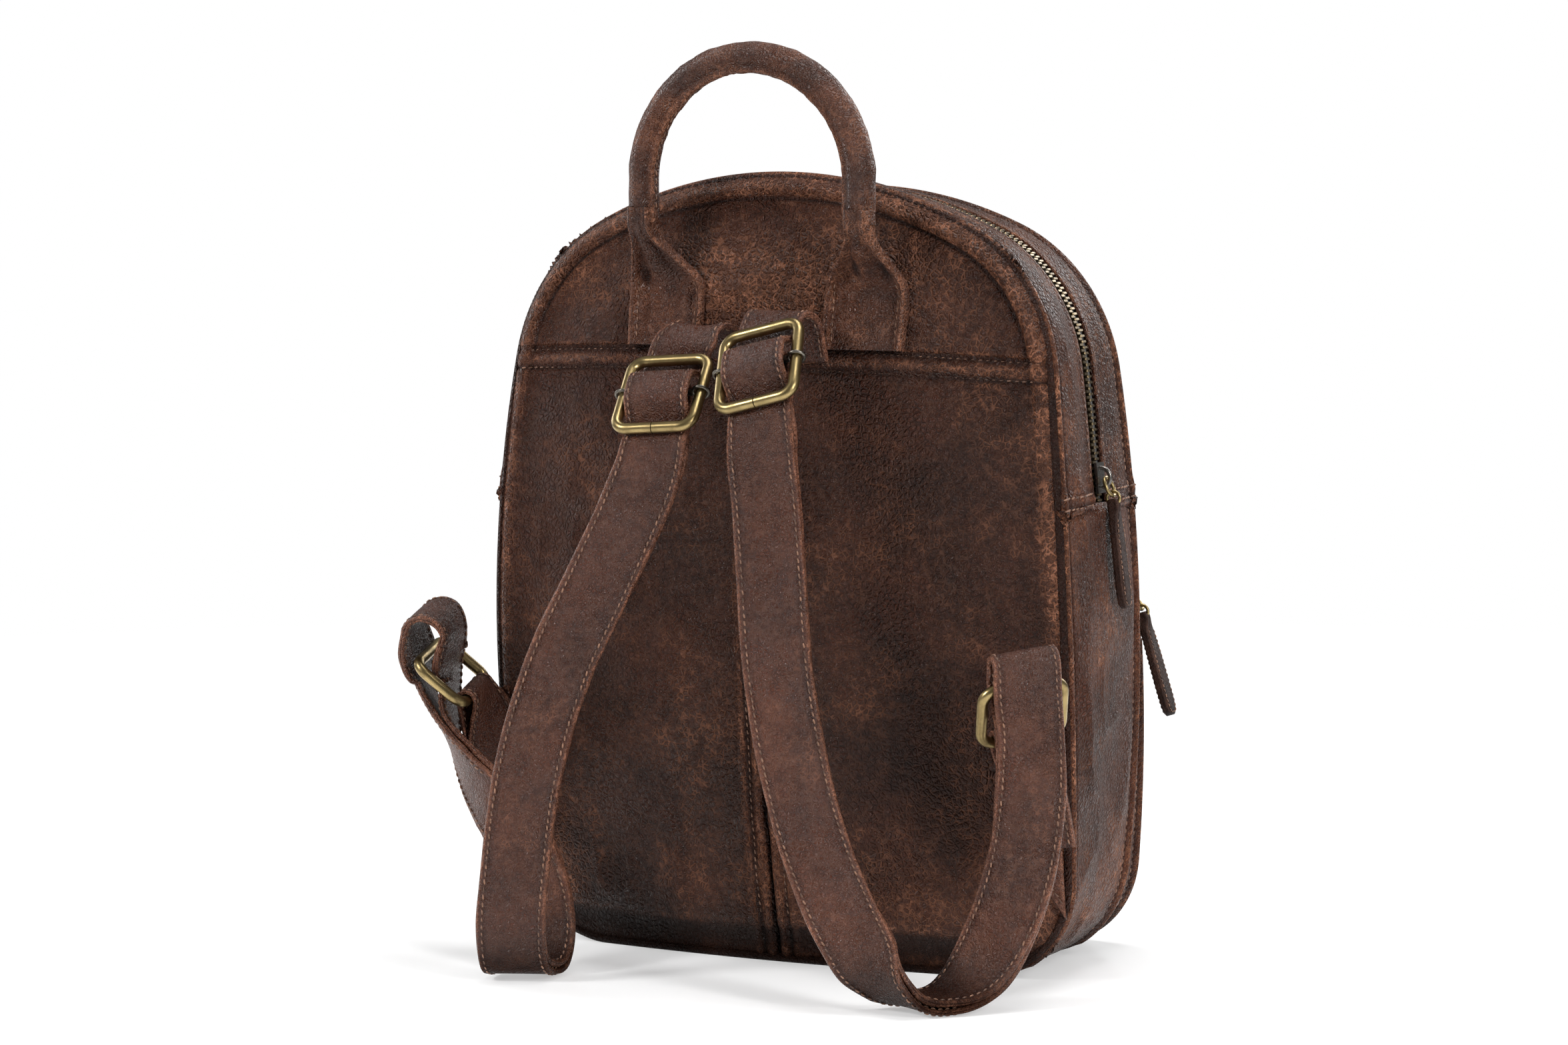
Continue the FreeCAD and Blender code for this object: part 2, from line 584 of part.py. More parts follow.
def handle_end(label, sign, skin):
    """Make one handle patch: a tongue on the yoke that rises into the neck of the handle."""
    tongue = common(label + "_tongue", skin, patch_outline(label + "_outline", sign))
    side = "" if sign > 0 else "-"
    rings = []
    stages = (
        ("foot", side + "Size.patch_centre", "-Size.handle_offset + Size.neck_foot_reach",
         "Size.patch_top - Size.neck_foot_reach", "Size.patch_width / 2 - Size.patch_hem",
         "Size.patch_thickness"),
        ("rise", side + "(Size.patch_centre + Size.neck_rise_shift)",
         "-Size.handle_offset + Size.neck_rise_reach", "Size.patch_top + Size.neck_rise_level",
         "Size.patch_width / 3", "Size.handle_radius - Size.neck_rise_thin"),
        ("collar", side + "Size.handle_half_span", "-Size.handle_offset", "Size.neck_level",
         "Size.handle_radius", "Size.handle_radius - Size.neck_top_thin"),
    )
    for name, x, y, z, major, minor in stages:
        ring = DOC.addObject("Part::Ellipse", "%s_%s" % (label, name))
        bind(ring, MajorRadius=major, MinorRadius=minor)
        rings.append(move(ring, x, y, z))
    neck = DOC.addObject("Part::Loft", label + "_neck")
    neck.Sections = rings
    neck.Solid = True
    return join("MultiFuse", label, tongue, neck)


def make_handle():
    """Make the rolled handle, its core and the two patches that hold it on the yoke."""
    near = back_ball("patch_inner", "-Size.patch_gap")
    far = back_ball("patch_outer", "-Size.patch_gap - Size.patch_thickness")
    skin = join("Cut", "patch_skin", far, near)
    return [
        handle_tube("handle_cover", "Size.handle_radius", "Size.handle_core_radius"),
        handle_tube("handle_core", "Size.handle_core_radius", None),
        handle_end("handle_end_right", 1, skin),
        handle_end("handle_end_left", -1, skin),
    ]


# ---------------------------------------------------------------- wire frames

def oriented(origin, up, across):
    """Return the placement whose X runs across, Y runs up and Z stands outward."""
    second = Vector(*up).normalize()
    first = Vector(*across)
    first = (first - second * second.dot(first)).normalize()
    return Placement(Vector(*origin), Rotation(first, second, first.cross(second), "XYZ"))


def wire_frame(label, height, place):
    """Sweep round wire into a rectangle with bent corners, open a little at the bottom."""
    body = DOC.addObject("PartDesign::Body", label)
    path = plane_sketch(body, "XY_Plane", label + "_path")
    bend, gap = size("Size.wire_bend"), size("Size.wire_joint") / 2
    half, reach = size("Size.frame_width") / 2, size(height) / 2
    near, high = half - bend, reach - bend
    axis = Vector(0, 0, 1)

    def line(start, end):
        path.addGeometry(Part.LineSegment(Vector(*start), Vector(*end)))

    def corner(x, y, first):
        path.addGeometry(Part.ArcOfCircle(Part.Circle(Vector(x, y), axis, bend),
                                          math.radians(first), math.radians(first + 90)))

    line((gap, -reach), (near, -reach))
    corner(near, -high, -90)
    line((half, -high), (half, high))
    corner(near, high, 0)
    line((near, reach), (-near, reach))
    corner(-near, high, 90)
    line((-half, high), (-half, -high))
    corner(-near, -high, 180)
    line((-near, -reach), (-gap, -reach))
    for edge in range(8):
        path.addConstraint(Sketcher.Constraint("Tangent", edge, 2, edge + 1, 1))
    for edge in (0, 8):
        path.addConstraint(Sketcher.Constraint("Horizontal", edge))
    for edge in (2, 6):
        path.addConstraint(Sketcher.Constraint("Vertical", edge))
    for edge in (3, 5, 7):
        path.addConstraint(Sketcher.Constraint("Equal", 1, edge))
    path.addConstraint(Sketcher.Constraint("Symmetric", 0, 1, 8, 2, -2))
    path.addConstraint(Sketcher.Constraint("Symmetric", 4, 1, 4, 2, -2))
    constrain(path, "bend", "Size.wire_bend", "Radius", 1)
    constrain(path, "joint", "Size.wire_joint", "DistanceX", 8, 2, 0, 1)
    constrain(path, "half_width", "Size.frame_width / 2", "DistanceX", -1, 1, 2, 1)
    constrain(path, "reach", "%s / 2" % height, "DistanceY", 0, 1, -1, 1)
    constrain(path, "height", height, "DistanceY", 0, 1, 4, 1)

    profile = plane_sketch(body, "YZ_Plane", label + "_profile", "Size.wire_joint / 2")
    profile.addGeometry(Part.Circle(Vector(-reach, 0), axis, size("Size.wire_radius")))
    constrain(profile, "wire", "Size.wire_radius", "Radius", 0)
    constrain(profile, "offset", "%s / 2" % height, "DistanceX", 0, 3, -1, 1)
    profile.addConstraint(Sketcher.Constraint("PointOnObject", 0, 3, -1))
    pipe = body.newObject("PartDesign::AdditivePipe", label + "_pipe")
    pipe.Profile = profile
    pipe.Spine = path
    body.Placement = place
    return body


def sliding_bar(label, place):
    """Make the thin bar that slides on a buckle's side wires on two eyelets."""
    bar = DOC.addObject("Part::Cylinder", label + "_rod")
    reach = "(Size.frame_width / 2 - Size.eyelet_radius)"
    bind(bar, Radius="Size.bar_radius", Height="2 * " + reach)
    bar.Placement = Placement(Vector(-size(reach), 0, 0), Rotation(Vector(0, 1, 0), 90))
    bar.setExpression("Placement.Base.x", "-" + reach)
    pieces = [bar]
    for side, sign in (("right", ""), ("left", "-")):
        eyelet = DOC.addObject("Part::Torus", "%s_eyelet_%s" % (label, side))
        bind(eyelet, Radius1="Size.eyelet_radius", Radius2="Size.eyelet_wire")
        eyelet.Placement = Placement(Vector(), Rotation(Vector(1, 0, 0), 90))
        eyelet.setExpression("Placement.Base.x", sign + "Size.frame_width / 2")
        pieces.append(eyelet)
    result = join("MultiFuse", label, *pieces)
    result.Placement = place
    return result


# ---------------------------------------------------------------- straps

# Each strap leaves the yoke seam, passes its buckle, hangs to the floor, turns up to its
# lower ring and comes back along the same line, so it is two layers thick.  A route point is
# (x, y, z, direction of the strap's width in degrees from +X, half the layers' distance or
# None for the sheet's).  Chape points have no layers.
STRAPS = {
    "right": {
        "buckle": ((21, -97, 260), (-0.247, 0.614, 0.75), (0.963, 0.088, 0.246)),
        "chape": ((19, -58, 257), (19, -60.6, 264), (18.5, -61.5, 271), (18, -65.5, 278),
                  (16.5, -73, 280.5)),
        "route": ((26, -103.5, 222, 18, None), (26, -99.6, 202, 20, None),
                  (29.5, -101.5, 169, 22, None),
                  (34, -105, 137, 22, None), (43, -111, 104, 22, None), (56, -119, 73, 22, None),
                  (72, -127, 46, 22, None), (88, -132, 25, 12, None), (98, -130, 12, -15, None),
                  (107, -123, 5, -30, None), (116, -112, 5, -25, None), (125, -101, 15, 0, None),
                  (132, -92, 34, 15, None), (137, -85, 58, 22, None), (138.4, -80, 85, 30, None),
                  (136.5, -77, 112.3, 45.1, None), (135.1, -79, 129, 41.7, 5)),
        "fold": ((134.8, -79.5, 140), 4.5),
        "ring": ((134.8, -79.5, 131), (128, -68, 108), (0.67, 0.74, 0)),
        "loop": ((130, -46.5, 60, 11, 1.2), (128.5, -56, 86, 30, 1.2)),
        "wing": ((136.5, 112), (134, 28), (118, 58), (120, 96)),
    },
    "left": {
        "buckle": ((-27, -94, 247), (-0.145, 0.691, 0.701), (0.988, 0.127, 0.053)),
        "chape": ((-20, -58, 257), (-20, -60.6, 264), (-21, -62.3, 270), (-23.5, -67.5, 273),
                  (-27, -73, 268)),
        "route": ((-28, -105.5, 214, 16, None), (-36.5, -108, 193, 20, None),
                  (-49, -113, 165, 25, None), (-61, -118, 138, 25, None),
                  (-69, -124, 110, 25, None), (-73, -131, 81, 25, None),
                  (-74, -137, 50, 25, None), (-74, -141, 24, 25, None), (-75, -137, 9, 25, None),
                  (-77, -126, 5, 22, None), (-78, -114, 7, 20, None), (-81, -105, 19, 16, None),
                  (-92, -95, 39, 6, None), (-107, -88, 57, -12, None),
                  (-129, -82, 77, -32, None), (-146, -77, 99, -62, None),
                  (-154.7, -70.5, 116.7, -71, 6.3), (-153.7, -75.4, 129, -86.3, 8.2)),
        "fold": ((-153, -76.3, 139.8), 9.3),
        "ring": ((-155.6, -76, 129.5), (-137.2, -67.9, 112.3), (0.19, -0.95, -0.21)),
        "loop": ((-131.8, -52.2, 63.1, 5.7, 1.2), (-132.8, -59.4, 89.7, 49.1, 1.2)),
        "wing": ((-136.5, 112), (-134, 28), (-118, 58), (-120, 96)),
    },
}

# Where the strap runs inside its buckle: distance below the sliding bar, distance outward.
OUTER_IN_BUCKLE = ((-22, -4.6), (-15, -4.8), (-6, 5.5), (-2, 6.3), (2, 6.3), (6, 5.5),
                   (15, -4.8), (22, -4.6))
INNER_IN_BUCKLE = ((22, -8.4), (15, -8), (6, -3.4), (0, -2.8), (-2, -2), (-2.8, 0), (-2, 2),
                   (0, 2.8), (4, 2.4))


def ribbon(label, stations):
    """Loft a flat strap through stations of point, unit vector across, width, thickness."""
    sections = []
    last = len(stations) - 1
    for index, (point, across, width, thickness) in enumerate(stations):
        along = (stations[min(index + 1, last)][0] - stations[max(index - 1, 0)][0]).normalize()
        reach = across * (width / 2)
        rise = along.cross(across).normalize() * (thickness / 2)
        corners = [point - reach - rise, point + reach - rise,
                   point + reach + rise, point - reach + rise]
        sections.append(Part.makePolygon(corners + corners[:1]))
    strap = DOC.addObject("Part::Feature", label)
    strap.Shape = Part.makeLoft(sections, True, True)
    strap.Placement = Placement()
    return strap


def compass(degrees):
    """Return the level direction at an angle from +X."""
    return Vector(math.cos(math.radians(degrees)), math.sin(math.radians(degrees)), 0)


def doubled(start, route, fold, across):
    """Return both layers of a band that runs along a route and folds back round a bar.

    The result is three lists of (point, unit vector across): one layer, the fold, the other.
    """
    centre, radius = Vector(*fold[0]), fold[1]
    middle = [start] + [Vector(*stop[:3]) for stop in route] + [centre]
    there, back = [], []
    for index, stop in enumerate(route, start=1):
        along = (middle[index + 1] - middle[index - 1]).normalize()
        width = compass(stop[3])
        side = (width - along * along.dot(width)).normalize()
        apart = along.cross(side) * (stop[4] or size("Size.strap_half_gap"))
        there.append((middle[index] + apart, side))
        back.insert(0, (middle[index] - apart, side))
    along = centre - middle[-2]
    along = (along - across * across.dot(along)).normalize()
    outward = along.cross(across)
    turn = []
    for degrees in (0, 45, 90, 135, 180):
        angle = math.radians(degrees)
        arm = outward * math.cos(angle) + along * math.sin(angle)
        turn.append((centre + arm * radius, across))
    return there, turn, back


def make_strap(side, plan):
    """Make one shoulder strap with its buckle, lower ring, ring loop and anchor wing."""
    place = oriented(*plan["buckle"])
    top, bottom, level = [Vector(*item) for item in plan["ring"]]
    ring_place = oriented((top + bottom) / 2, top - bottom, level)
    ring_across = ring_place.Rotation.multVec(Vector(1, 0, 0))
    wide, thick = size("Size.strap_width"), size("Size.strap_thickness")
    end_wide, end_thick = size("Size.strap_end_width"), size("Size.strap_end_thickness")
    across = place.Rotation.multVec(Vector(1, 0, 0))

    def in_buckle(stops):
        return [(place.multVec(Vector(0, -below, out)), across) for below, out in stops]

    outer, inner = in_buckle(OUTER_IN_BUCKLE), in_buckle(INNER_IN_BUCKLE)
    chape = [(Vector(*point), Vector(1, 0, 0)) for point in plan["chape"]]
    start = (outer[-1][0] + inner[0][0]) / 2
    there, turn, back = doubled(start, plan["route"], plan["fold"], ring_across)
    stations = [stop + (wide, thick) for stop in chape + outer + there + turn + back]
    stations += [stop + (wide, thick) for stop in inner[:1]]
    stations += [stop + (end_wide, end_thick) for stop in inner[1:]]

    loop_radius = size("Size.wire_radius + Size.loop_thickness / 2 + Size.loop_play")
    loop = plan["loop"]
    tail = Vector(*loop[0][:3]) * 2 - Vector(*loop[1][:3])
    if compass(loop[-1][3]).dot(ring_across) < 0:
        ring_across = -ring_across
    there, turn, back = doubled(tail, loop, (bottom, loop_radius), ring_across)
    band = (size("Size.loop_width"), size("Size.loop_thickness"))

    return [
        ribbon("shoulder_strap_" + side, stations),
        wire_frame("buckle_frame_" + side, "Size.frame_height", place),
        sliding_bar("sliding_bar_" + side, place),
        wire_frame("lower_ring_" + side, "Size.ring_height", ring_place),
        ribbon("ring_loop_" + side, [stop + band for stop in there + turn + back]),
        anchor_wing("anchor_wing_" + side, plan["wing"]),
    ]


def anchor_wing(label, corners):
    """Make the triangular wing that lies on the back panel and is sewn into its side seam."""
    near = back_ball(label + "_inner", "-Size.patch_gap")
    far = back_ball(label + "_outer", "-Size.patch_gap - Size.wing_thickness")
    skin = join("Cut", label + "_skin", far, near)
    body = DOC.addObject("PartDesign::Body", label + "_outline")
    sketch = plane_sketch(body, "XZ_Plane", label + "_sketch")
    points = [Vector(*corner) for corner in corners]
    for index, start in enumerate(points):
        end = points[(index + 1) % len(points)]
        sketch.addGeometry(Part.LineSegment(start, end))
    for index, point in enumerate(points):
        following = (index + 1) % len(points)
        sketch.addConstraint(Sketcher.Constraint("Coincident", index, 2, following, 1))
        sketch.addConstraint(Sketcher.Constraint("DistanceX", -1, 1, index, 1, point.x))
        sketch.addConstraint(Sketcher.Constraint("DistanceY", -1, 1, index, 1, point.y))
    pad = body.newObject("PartDesign::Pad", label + "_pad")
    pad.Profile = sketch
    pad.setExpression("Length", "Size.form_depth")
    return common(label, skin, body)


def make_straps():
    """Make both shoulder straps and their hardware."""
    nodes = []
    for side, plan in STRAPS.items():
        nodes += make_strap(side, plan)
    return nodes


# ---------------------------------------------------------------- zip sliders and pulls

def slider(label, place):
    """Make a zip slider: outer plate, neck, inner plate and the bridge that holds the pull."""
    half_wide, half_long = "Size.slider_width / 2", "Size.slider_length / 2"
    depth = "-Size.inner_plate_depth"
    outer = region(label + "_outer_plate", ("Size.plate_gap", "Size.plate_gap + Size.plate"),
                   ("-" + half_wide, half_wide), ("-" + half_long, half_long))
    inner = region(label + "_inner_plate", (depth + " - Size.inner_plate", depth),
                   ("-" + half_wide, half_wide),
                   ("-Size.inner_plate_reach", "Size.inner_plate_reach"))
    neck = region(label + "_neck",
                  (depth + " - Size.root_overlap", "Size.plate_gap + Size.root_overlap"),
                  ("-Size.neck_width / 2", "Size.neck_width / 2"),
                  ("0", "Size.inner_plate_reach"))
    bridge = DOC.addObject("Part::Torus", label + "_bridge")
    bind(bridge, Radius1="Size.bridge_radius", Radius2="Size.bridge_wire")
    bridge.Angle3 = 180
    bridge.Placement = Placement(Vector(), Rotation(Vector(0, 0, 1), Vector(1, 0, 0),
                                                    Vector(0, 1, 0), "XYZ"))
    bridge.setExpression("Placement.Base.x", "Size.plate_gap + Size.plate - Size.bridge_overlap")
    result = join("MultiFuse", label, outer, inner, neck, bridge)
    result.Placement = place
    return result


def pull(label, place, tilt, tab_tilt):
    """Make what hangs from a slider: wire loop, jump ring and folded leather tab.

    The part's own origin is the wire loop's top, where it hangs on the bridge.  tilt and
    tab_tilt are the formulas of how far the loop and the tab lean outward.
    """
    loop = DOC.addObject("Part::Torus", label + "_puller")
    bind(loop, Radius1="Size.puller_radius", Radius2="Size.puller_wire")
    lean = math.radians(size(tilt))
    reach = size("Size.puller_radius")
    down = Vector(math.sin(lean), 0, -math.cos(lean))
    loop.Placement = place * Placement(down * reach, Rotation(Vector(0, 1, 0), 90 - size(tilt)))

    ring = DOC.addObject("Part::Torus", label + "_jump_ring")
    bind(ring, Radius1="Size.jump_radius", Radius2="Size.jump_wire")
    hang = size("Size.jump_radius - Size.jump_wire - Size.puller_wire - Size.ring_play")
    middle = down * (2 * reach) + Vector(0, 0, -hang)
    ring.Placement = place * Placement(middle, Rotation(Vector(1, 0, 0), 90))

    eye = DOC.addObject("Part::Cylinder", label + "_eye")
    bind(eye, Radius="Size.tab_eye", Height="Size.eye_width")
    eye.Placement = Placement(Vector(-size("Size.eye_width") / 2, 0, 0),
                              Rotation(Vector(0, 1, 0), 90))
    half_thick, half_wide = "Size.tab_thickness / 2", "Size.tab_width / 2"
    flap = region(label + "_flap", ("-" + half_wide, half_wide), ("-" + half_thick, half_thick),
                  ("-Size.tab_length", "-Size.tab_eye - Size.throat_overlap"))
    throat = region(label + "_throat", ("-Size.eye_width / 2", "Size.eye_width / 2"),
                    ("-" + half_thick, half_thick),
                    ("-Size.tab_eye - 2 * Size.throat_overlap", "0"))
    solid = join("MultiFuse", label + "_tab_solid", eye, flap, throat)
    bore = DOC.addObject("Part::Cylinder", label + "_bore")
    bind(bore, Radius="Size.tab_bore", Height="2 * Size.tab_width")
    bore.Placement = Placement(Vector(-size("Size.tab_width"), 0, 0),
                               Rotation(Vector(0, 1, 0), 90))
    tab = join("Cut", label + "_tab", solid, bore)
    swing = Rotation(Vector(0, 1, 0), -size(tab_tilt))
    foot = middle + swing.multVec(Vector(0, 0, -size("Size.jump_radius")))
    tab.Placement = place * Placement(foot, swing)
    return [loop, ring, tab]


def zip_slider(prefix, centre, radius, angle, taper, tilts):
    """Make a slider and its pull on a zip that follows an arc of the bag's outline.

    centre is the arc's centre, angle the slider's place on it and taper how far the leather
    there turns forward, in degrees.  tilts are the formulas of the pull's two leans.
    """
    lean = math.radians(angle)
    outward = Vector(math.cos(lean), 0, math.sin(lean))
    turned = Rotation(Vector(0, 0, 1), taper)
    spot = centre + outward * radius
    place = Placement(spot, turned * Rotation(Vector(0, 1, 0), -angle))
    reach = size("Size.plate_gap + Size.plate + Size.bridge_radius"
                 " - Size.bridge_wire - Size.puller_wire - Size.hook_play")
    hook = Placement(place.multVec(Vector(reach, 0, 0)), turned)
    return [slider(prefix + "_slider", place)] + pull(prefix, hook, *tilts)


def between_planes(prefix, planes, offset):
    """Return the numbers of an outline part way between a form's two planes."""
    rear, front = [arch_numbers(arch_shape(prefix, plane, "0")) for plane, where in planes]
    start, end = [-size(where) for plane, where in planes]
    share = (offset - start) / (end - start)
    return {name: rear[name] + (front[name] - rear[name]) * share for name in rear}


def make_sliders():
    """Make the sliders and pulls of the main zip and of the pocket zip."""
    shape = between_planes("", BODY_PLANES, 0)
    side = arch_centres(shape)["side"]
    centre = Vector(side.x, 0, side.y)
    angle = math.degrees(math.asin((size("Size.slider_level") - side.y) / shape["side"]))
    narrow = size("(Size.back_half_width - Size.front_half_width) / (2 * Size.form_depth)")
    nodes = zip_slider("main", centre, shape["side"], angle, math.degrees(math.atan(narrow)),
                       ("Size.puller_tilt", "Size.tab_tilt"))

    offset = size("Size.pocket_zip_offset")
    shape = between_planes("pocket_", POCKET_PLANES, offset)
    bend = arch_centres(shape)["shoulder"]
    centre = Vector(bend.x, offset, bend.y)
    narrow = size("(Size.pocket_rear_half_width - Size.pocket_front_half_width)"
                  " / (Size.pocket_front - Size.pocket_rear)")
    nodes += zip_slider("pocket", centre, shape["shoulder"], size("Size.pocket_slider_angle"),
                        math.degrees(math.atan(narrow)),
                        ("Size.pocket_puller_tilt", "Size.pocket_tab_tilt"))
    return nodes


# ---------------------------------------------------------------- document

def check(nodes):
    """Stop if any object failed or any sub-part has no valid solid."""
    for item in DOC.Objects:
        if "Invalid" in item.State or "Error" in item.State:
            raise RuntimeError("failed object: " + item.Label)
    for node in nodes:
        shape = node.Shape
        if shape.isNull() or not shape.isValid() or not shape.Solids:
            raise RuntimeError("no valid solid: " + node.Label)


def export(nodes):
    """Write each sub-part's shape to a file with the sub-part's name."""
    os.makedirs("parts", exist_ok=True)
    for node in nodes:
        node.Shape.exportStep("parts/%s.step" % node.Label)


NODES = make_body() + make_pocket() + make_handle() + make_straps() + make_sliders()
DOC.recompute()
check(NODES)
export(NODES)
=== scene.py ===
import math

import bpy
import numpy as np
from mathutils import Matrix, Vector


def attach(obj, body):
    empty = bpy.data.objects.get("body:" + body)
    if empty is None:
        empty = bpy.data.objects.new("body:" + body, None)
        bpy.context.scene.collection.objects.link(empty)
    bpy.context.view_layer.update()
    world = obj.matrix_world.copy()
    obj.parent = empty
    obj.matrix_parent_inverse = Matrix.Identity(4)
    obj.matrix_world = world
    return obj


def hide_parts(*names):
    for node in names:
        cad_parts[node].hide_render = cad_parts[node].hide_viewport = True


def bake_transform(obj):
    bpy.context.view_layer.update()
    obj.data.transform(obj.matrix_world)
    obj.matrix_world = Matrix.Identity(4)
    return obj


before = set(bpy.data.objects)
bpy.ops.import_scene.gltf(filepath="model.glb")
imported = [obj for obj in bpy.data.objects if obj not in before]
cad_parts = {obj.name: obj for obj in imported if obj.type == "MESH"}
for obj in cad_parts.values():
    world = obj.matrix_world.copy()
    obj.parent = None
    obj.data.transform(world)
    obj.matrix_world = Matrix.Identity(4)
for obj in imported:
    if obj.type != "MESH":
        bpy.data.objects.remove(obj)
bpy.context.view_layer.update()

# Lengths below are millimetres, as in the CAD; every mesh is scaled to metres when it is made.
MM = 0.001
RNG = np.random.default_rng(20)
LATTICE = RNG.random((32, 32, 32))


# ---- numbers and noise

def smooth(value, low, high):
    """Rise softly from 0 at low to 1 at high."""
    share = np.clip((value - low) / (high - low), 0, 1)
    return share * share * (3 - 2 * share)


def hill(distance, width, power=2):
    """A bell: 1 at no distance, near 0 beyond the width."""
    return np.exp(-np.abs(distance / width) ** power)


def noise(points, step):
    """Smooth noise from -1 to 1 whose lumps are about step apart."""
    place = np.asarray(points, float) / step + 500
    cell = np.floor(place).astype(int)
    part = place - cell
    part = part * part * (3 - 2 * part)
    total = 0
    for corner in range(8):
        bit = np.array([corner & 1, corner >> 1 & 1, corner >> 2 & 1])
        weight = np.prod(np.where(bit, part, 1 - part), axis=-1)
        i, j, k = np.moveaxis((cell + bit) % 32, -1, 0)
        total = total + weight * LATTICE[i, j, k]
    return total * 2 - 1


def turns(count):
    """Equal steps round a circle, in radians."""
    return np.arange(count) * 2 * np.pi / count


def unit(vectors):
    """Scale vectors to length one."""
    return vectors / np.maximum(np.linalg.norm(vectors, axis=-1, keepdims=True), 1e-9)


def grid_normals(grid):
    """Normals of a grid of points, from its two directions."""
    along = np.gradient(grid, axis=0)
    across = np.gradient(grid, axis=1)
    return unit(np.cross(along, across))


def travelled(line):
    """How far along a line each of its points lies."""
    return np.concatenate([[0], np.cumsum(np.linalg.norm(np.diff(line, axis=0), axis=1))])


def sampled(spots, way, values):
    """Values along a line, column by column, read off at other distances."""
    return np.stack([np.interp(spots, way, column) for column in values.T], -1)


def by_height(z, low, high):
    """An outline's points above one level and below another, each as one unbroken run."""
    upper, lower = np.flatnonzero(z >= low), np.flatnonzero(z < high)
    half = len(z) // 2
    return upper, np.concatenate([lower[lower > half], lower[lower < half]])


# ---- meshes

def show(name, data):
    """Put a mesh, lamp or camera into the scene."""
    shown = bpy.data.objects.new(name, data)
    bpy.context.scene.collection.objects.link(shown)
    return shown


def piece(name, points, faces, body, slot, wear_and_shade=None, nodes=(), flat=False, paint=None):
    """Make one piece from points in millimetres and let it ride on a body.

    Its material is the one called like its slot, unless paint names another.
    """
    mesh = bpy.data.meshes.new(name)
    mesh.from_pydata((np.asarray(points) * MM).tolist(), [], [tuple(f) for f in faces])
    mesh.update()
    # The per-point attribute holds rubbing above zero and painted shade below zero.
    if wear_and_shade is not None:
        attribute = mesh.attributes.new("wear_and_shade", "FLOAT", "POINT")
        attribute.data.foreach_set("value", np.asarray(wear_and_shade, np.float32).ravel())
    if not flat:
        mesh.polygons.foreach_set("use_smooth", np.ones(len(mesh.polygons), bool))
    mesh.materials.append(MAT[paint or slot])
    shown = show(name, mesh)
    if body:
        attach(shown, body)
    if nodes:
        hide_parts(*nodes)
    return shown


def lattice_faces(rows, columns, start=0, closed=False, flip=False):
    """Faces of a grid of points that are numbered row by row."""
    row, column = np.meshgrid(np.arange(rows - 1), np.arange(columns if closed else columns - 1),
                              indexing="ij")
    following = (column + 1) % columns
    corners = [row * columns + column, row * columns + following,
               (row + 1) * columns + following, (row + 1) * columns + column]
    faces = np.stack(corners, -1).reshape(-1, 4) + start
    return faces[:, ::-1] if flip else faces


def tube_faces(rows, columns):
    """Faces of rings of points, with a cap at each end."""
    last = (rows - 1) * columns
    return (lattice_faces(rows, columns, closed=True).tolist()
            + [list(range(columns))[::-1], list(range(last, last + columns))])


def rings_piece(name, grid, body, slot, wear_and_shade, nodes=(), paint=None):
    """A closed piece whose rings are the rows of a grid of points."""
    return piece(name, grid.reshape(-1, 3), tube_faces(*grid.shape[:2]), body, slot, wear_and_shade, nodes,
                 paint=paint)


def shell(name, grid, thick, body, slot, wear_and_shade, nodes, side):
    """A sheet of some thickness whose outer face is a grid of points, facing to a side."""
    rows, columns = grid.shape[:2]
    normal = grid_normals(grid)
    if np.sum(normal * side) < 0:
        normal = -normal
    facing = np.sum(np.cross(np.gradient(grid, axis=0), np.gradient(grid, axis=1)) * normal) > 0
    inner = grid - normal * thick
    points = np.concatenate([grid.reshape(-1, 3), inner.reshape(-1, 3)])
    count = rows * columns
    top = lattice_faces(rows, columns, flip=facing)
    low = lattice_faces(rows, columns, count, flip=not facing)
    index = np.arange(count).reshape(rows, columns)
    ring = np.concatenate([index[0], index[1:, -1], index[-1, -2::-1], index[-2:0:-1, 0]])
    following = np.roll(ring, -1)
    rim = np.stack([ring, following, following + count, ring + count], -1)
    rim = rim if facing else rim[:, ::-1]
    faces = np.concatenate([top, low, rim]).tolist()
    worn_and_shaded = np.concatenate([np.ravel(wear_and_shade), np.zeros(count)])
    return piece(name, points, faces, body, slot, worn_and_shaded, nodes)


def tube(path, radius, closed, sides=10):
    """Points and faces of a round cord along a path."""
    if closed:
        along = unit(np.roll(path, -1, 0) - np.roll(path, 1, 0))
    else:
        along = unit(np.gradient(path, axis=0))
    first = [unit(np.cross(along[0], (0.3, 0.5, 0.81)))]
    for direction in along[1:]:
        first.append(unit(first[-1] - direction * np.dot(first[-1], direction)))
    first = np.array(first)
    second = np.cross(along, first)
    angle = turns(sides)[:, None]
    rings = path[:, None] + (first[:, None] * np.cos(angle)
                             + second[:, None] * np.sin(angle)) * radius
    faces = tube_faces(len(path), sides)
    if closed:
        last = (len(path) - 1) * sides
        faces[-2:] = [[last + i, last + (i + 1) % sides, (i + 1) % sides, i]
                      for i in range(sides)]
    return rings.reshape(-1, 3), faces


def copies(shape, place, first, second, third):
    """Copies of a small (points, faces), one at each place, turned to its three directions."""
    points, faces = shape
    spread = (place[:, None] + points[:, :1] * first[:, None] + points[:, 1:2] * second[:, None]
              + points[:, 2:] * third[:, None])
    return [(spot, faces) for spot in spread]


def gather(parts):
    """Join several (points, faces) into one."""
    points, faces, start = [], [], 0
    for part_points, part_faces in parts:
        points.append(part_points)
        faces += [[index + start for index in face] for face in part_faces]
        start += len(part_points)
    return np.concatenate(points), faces


# ---- materials

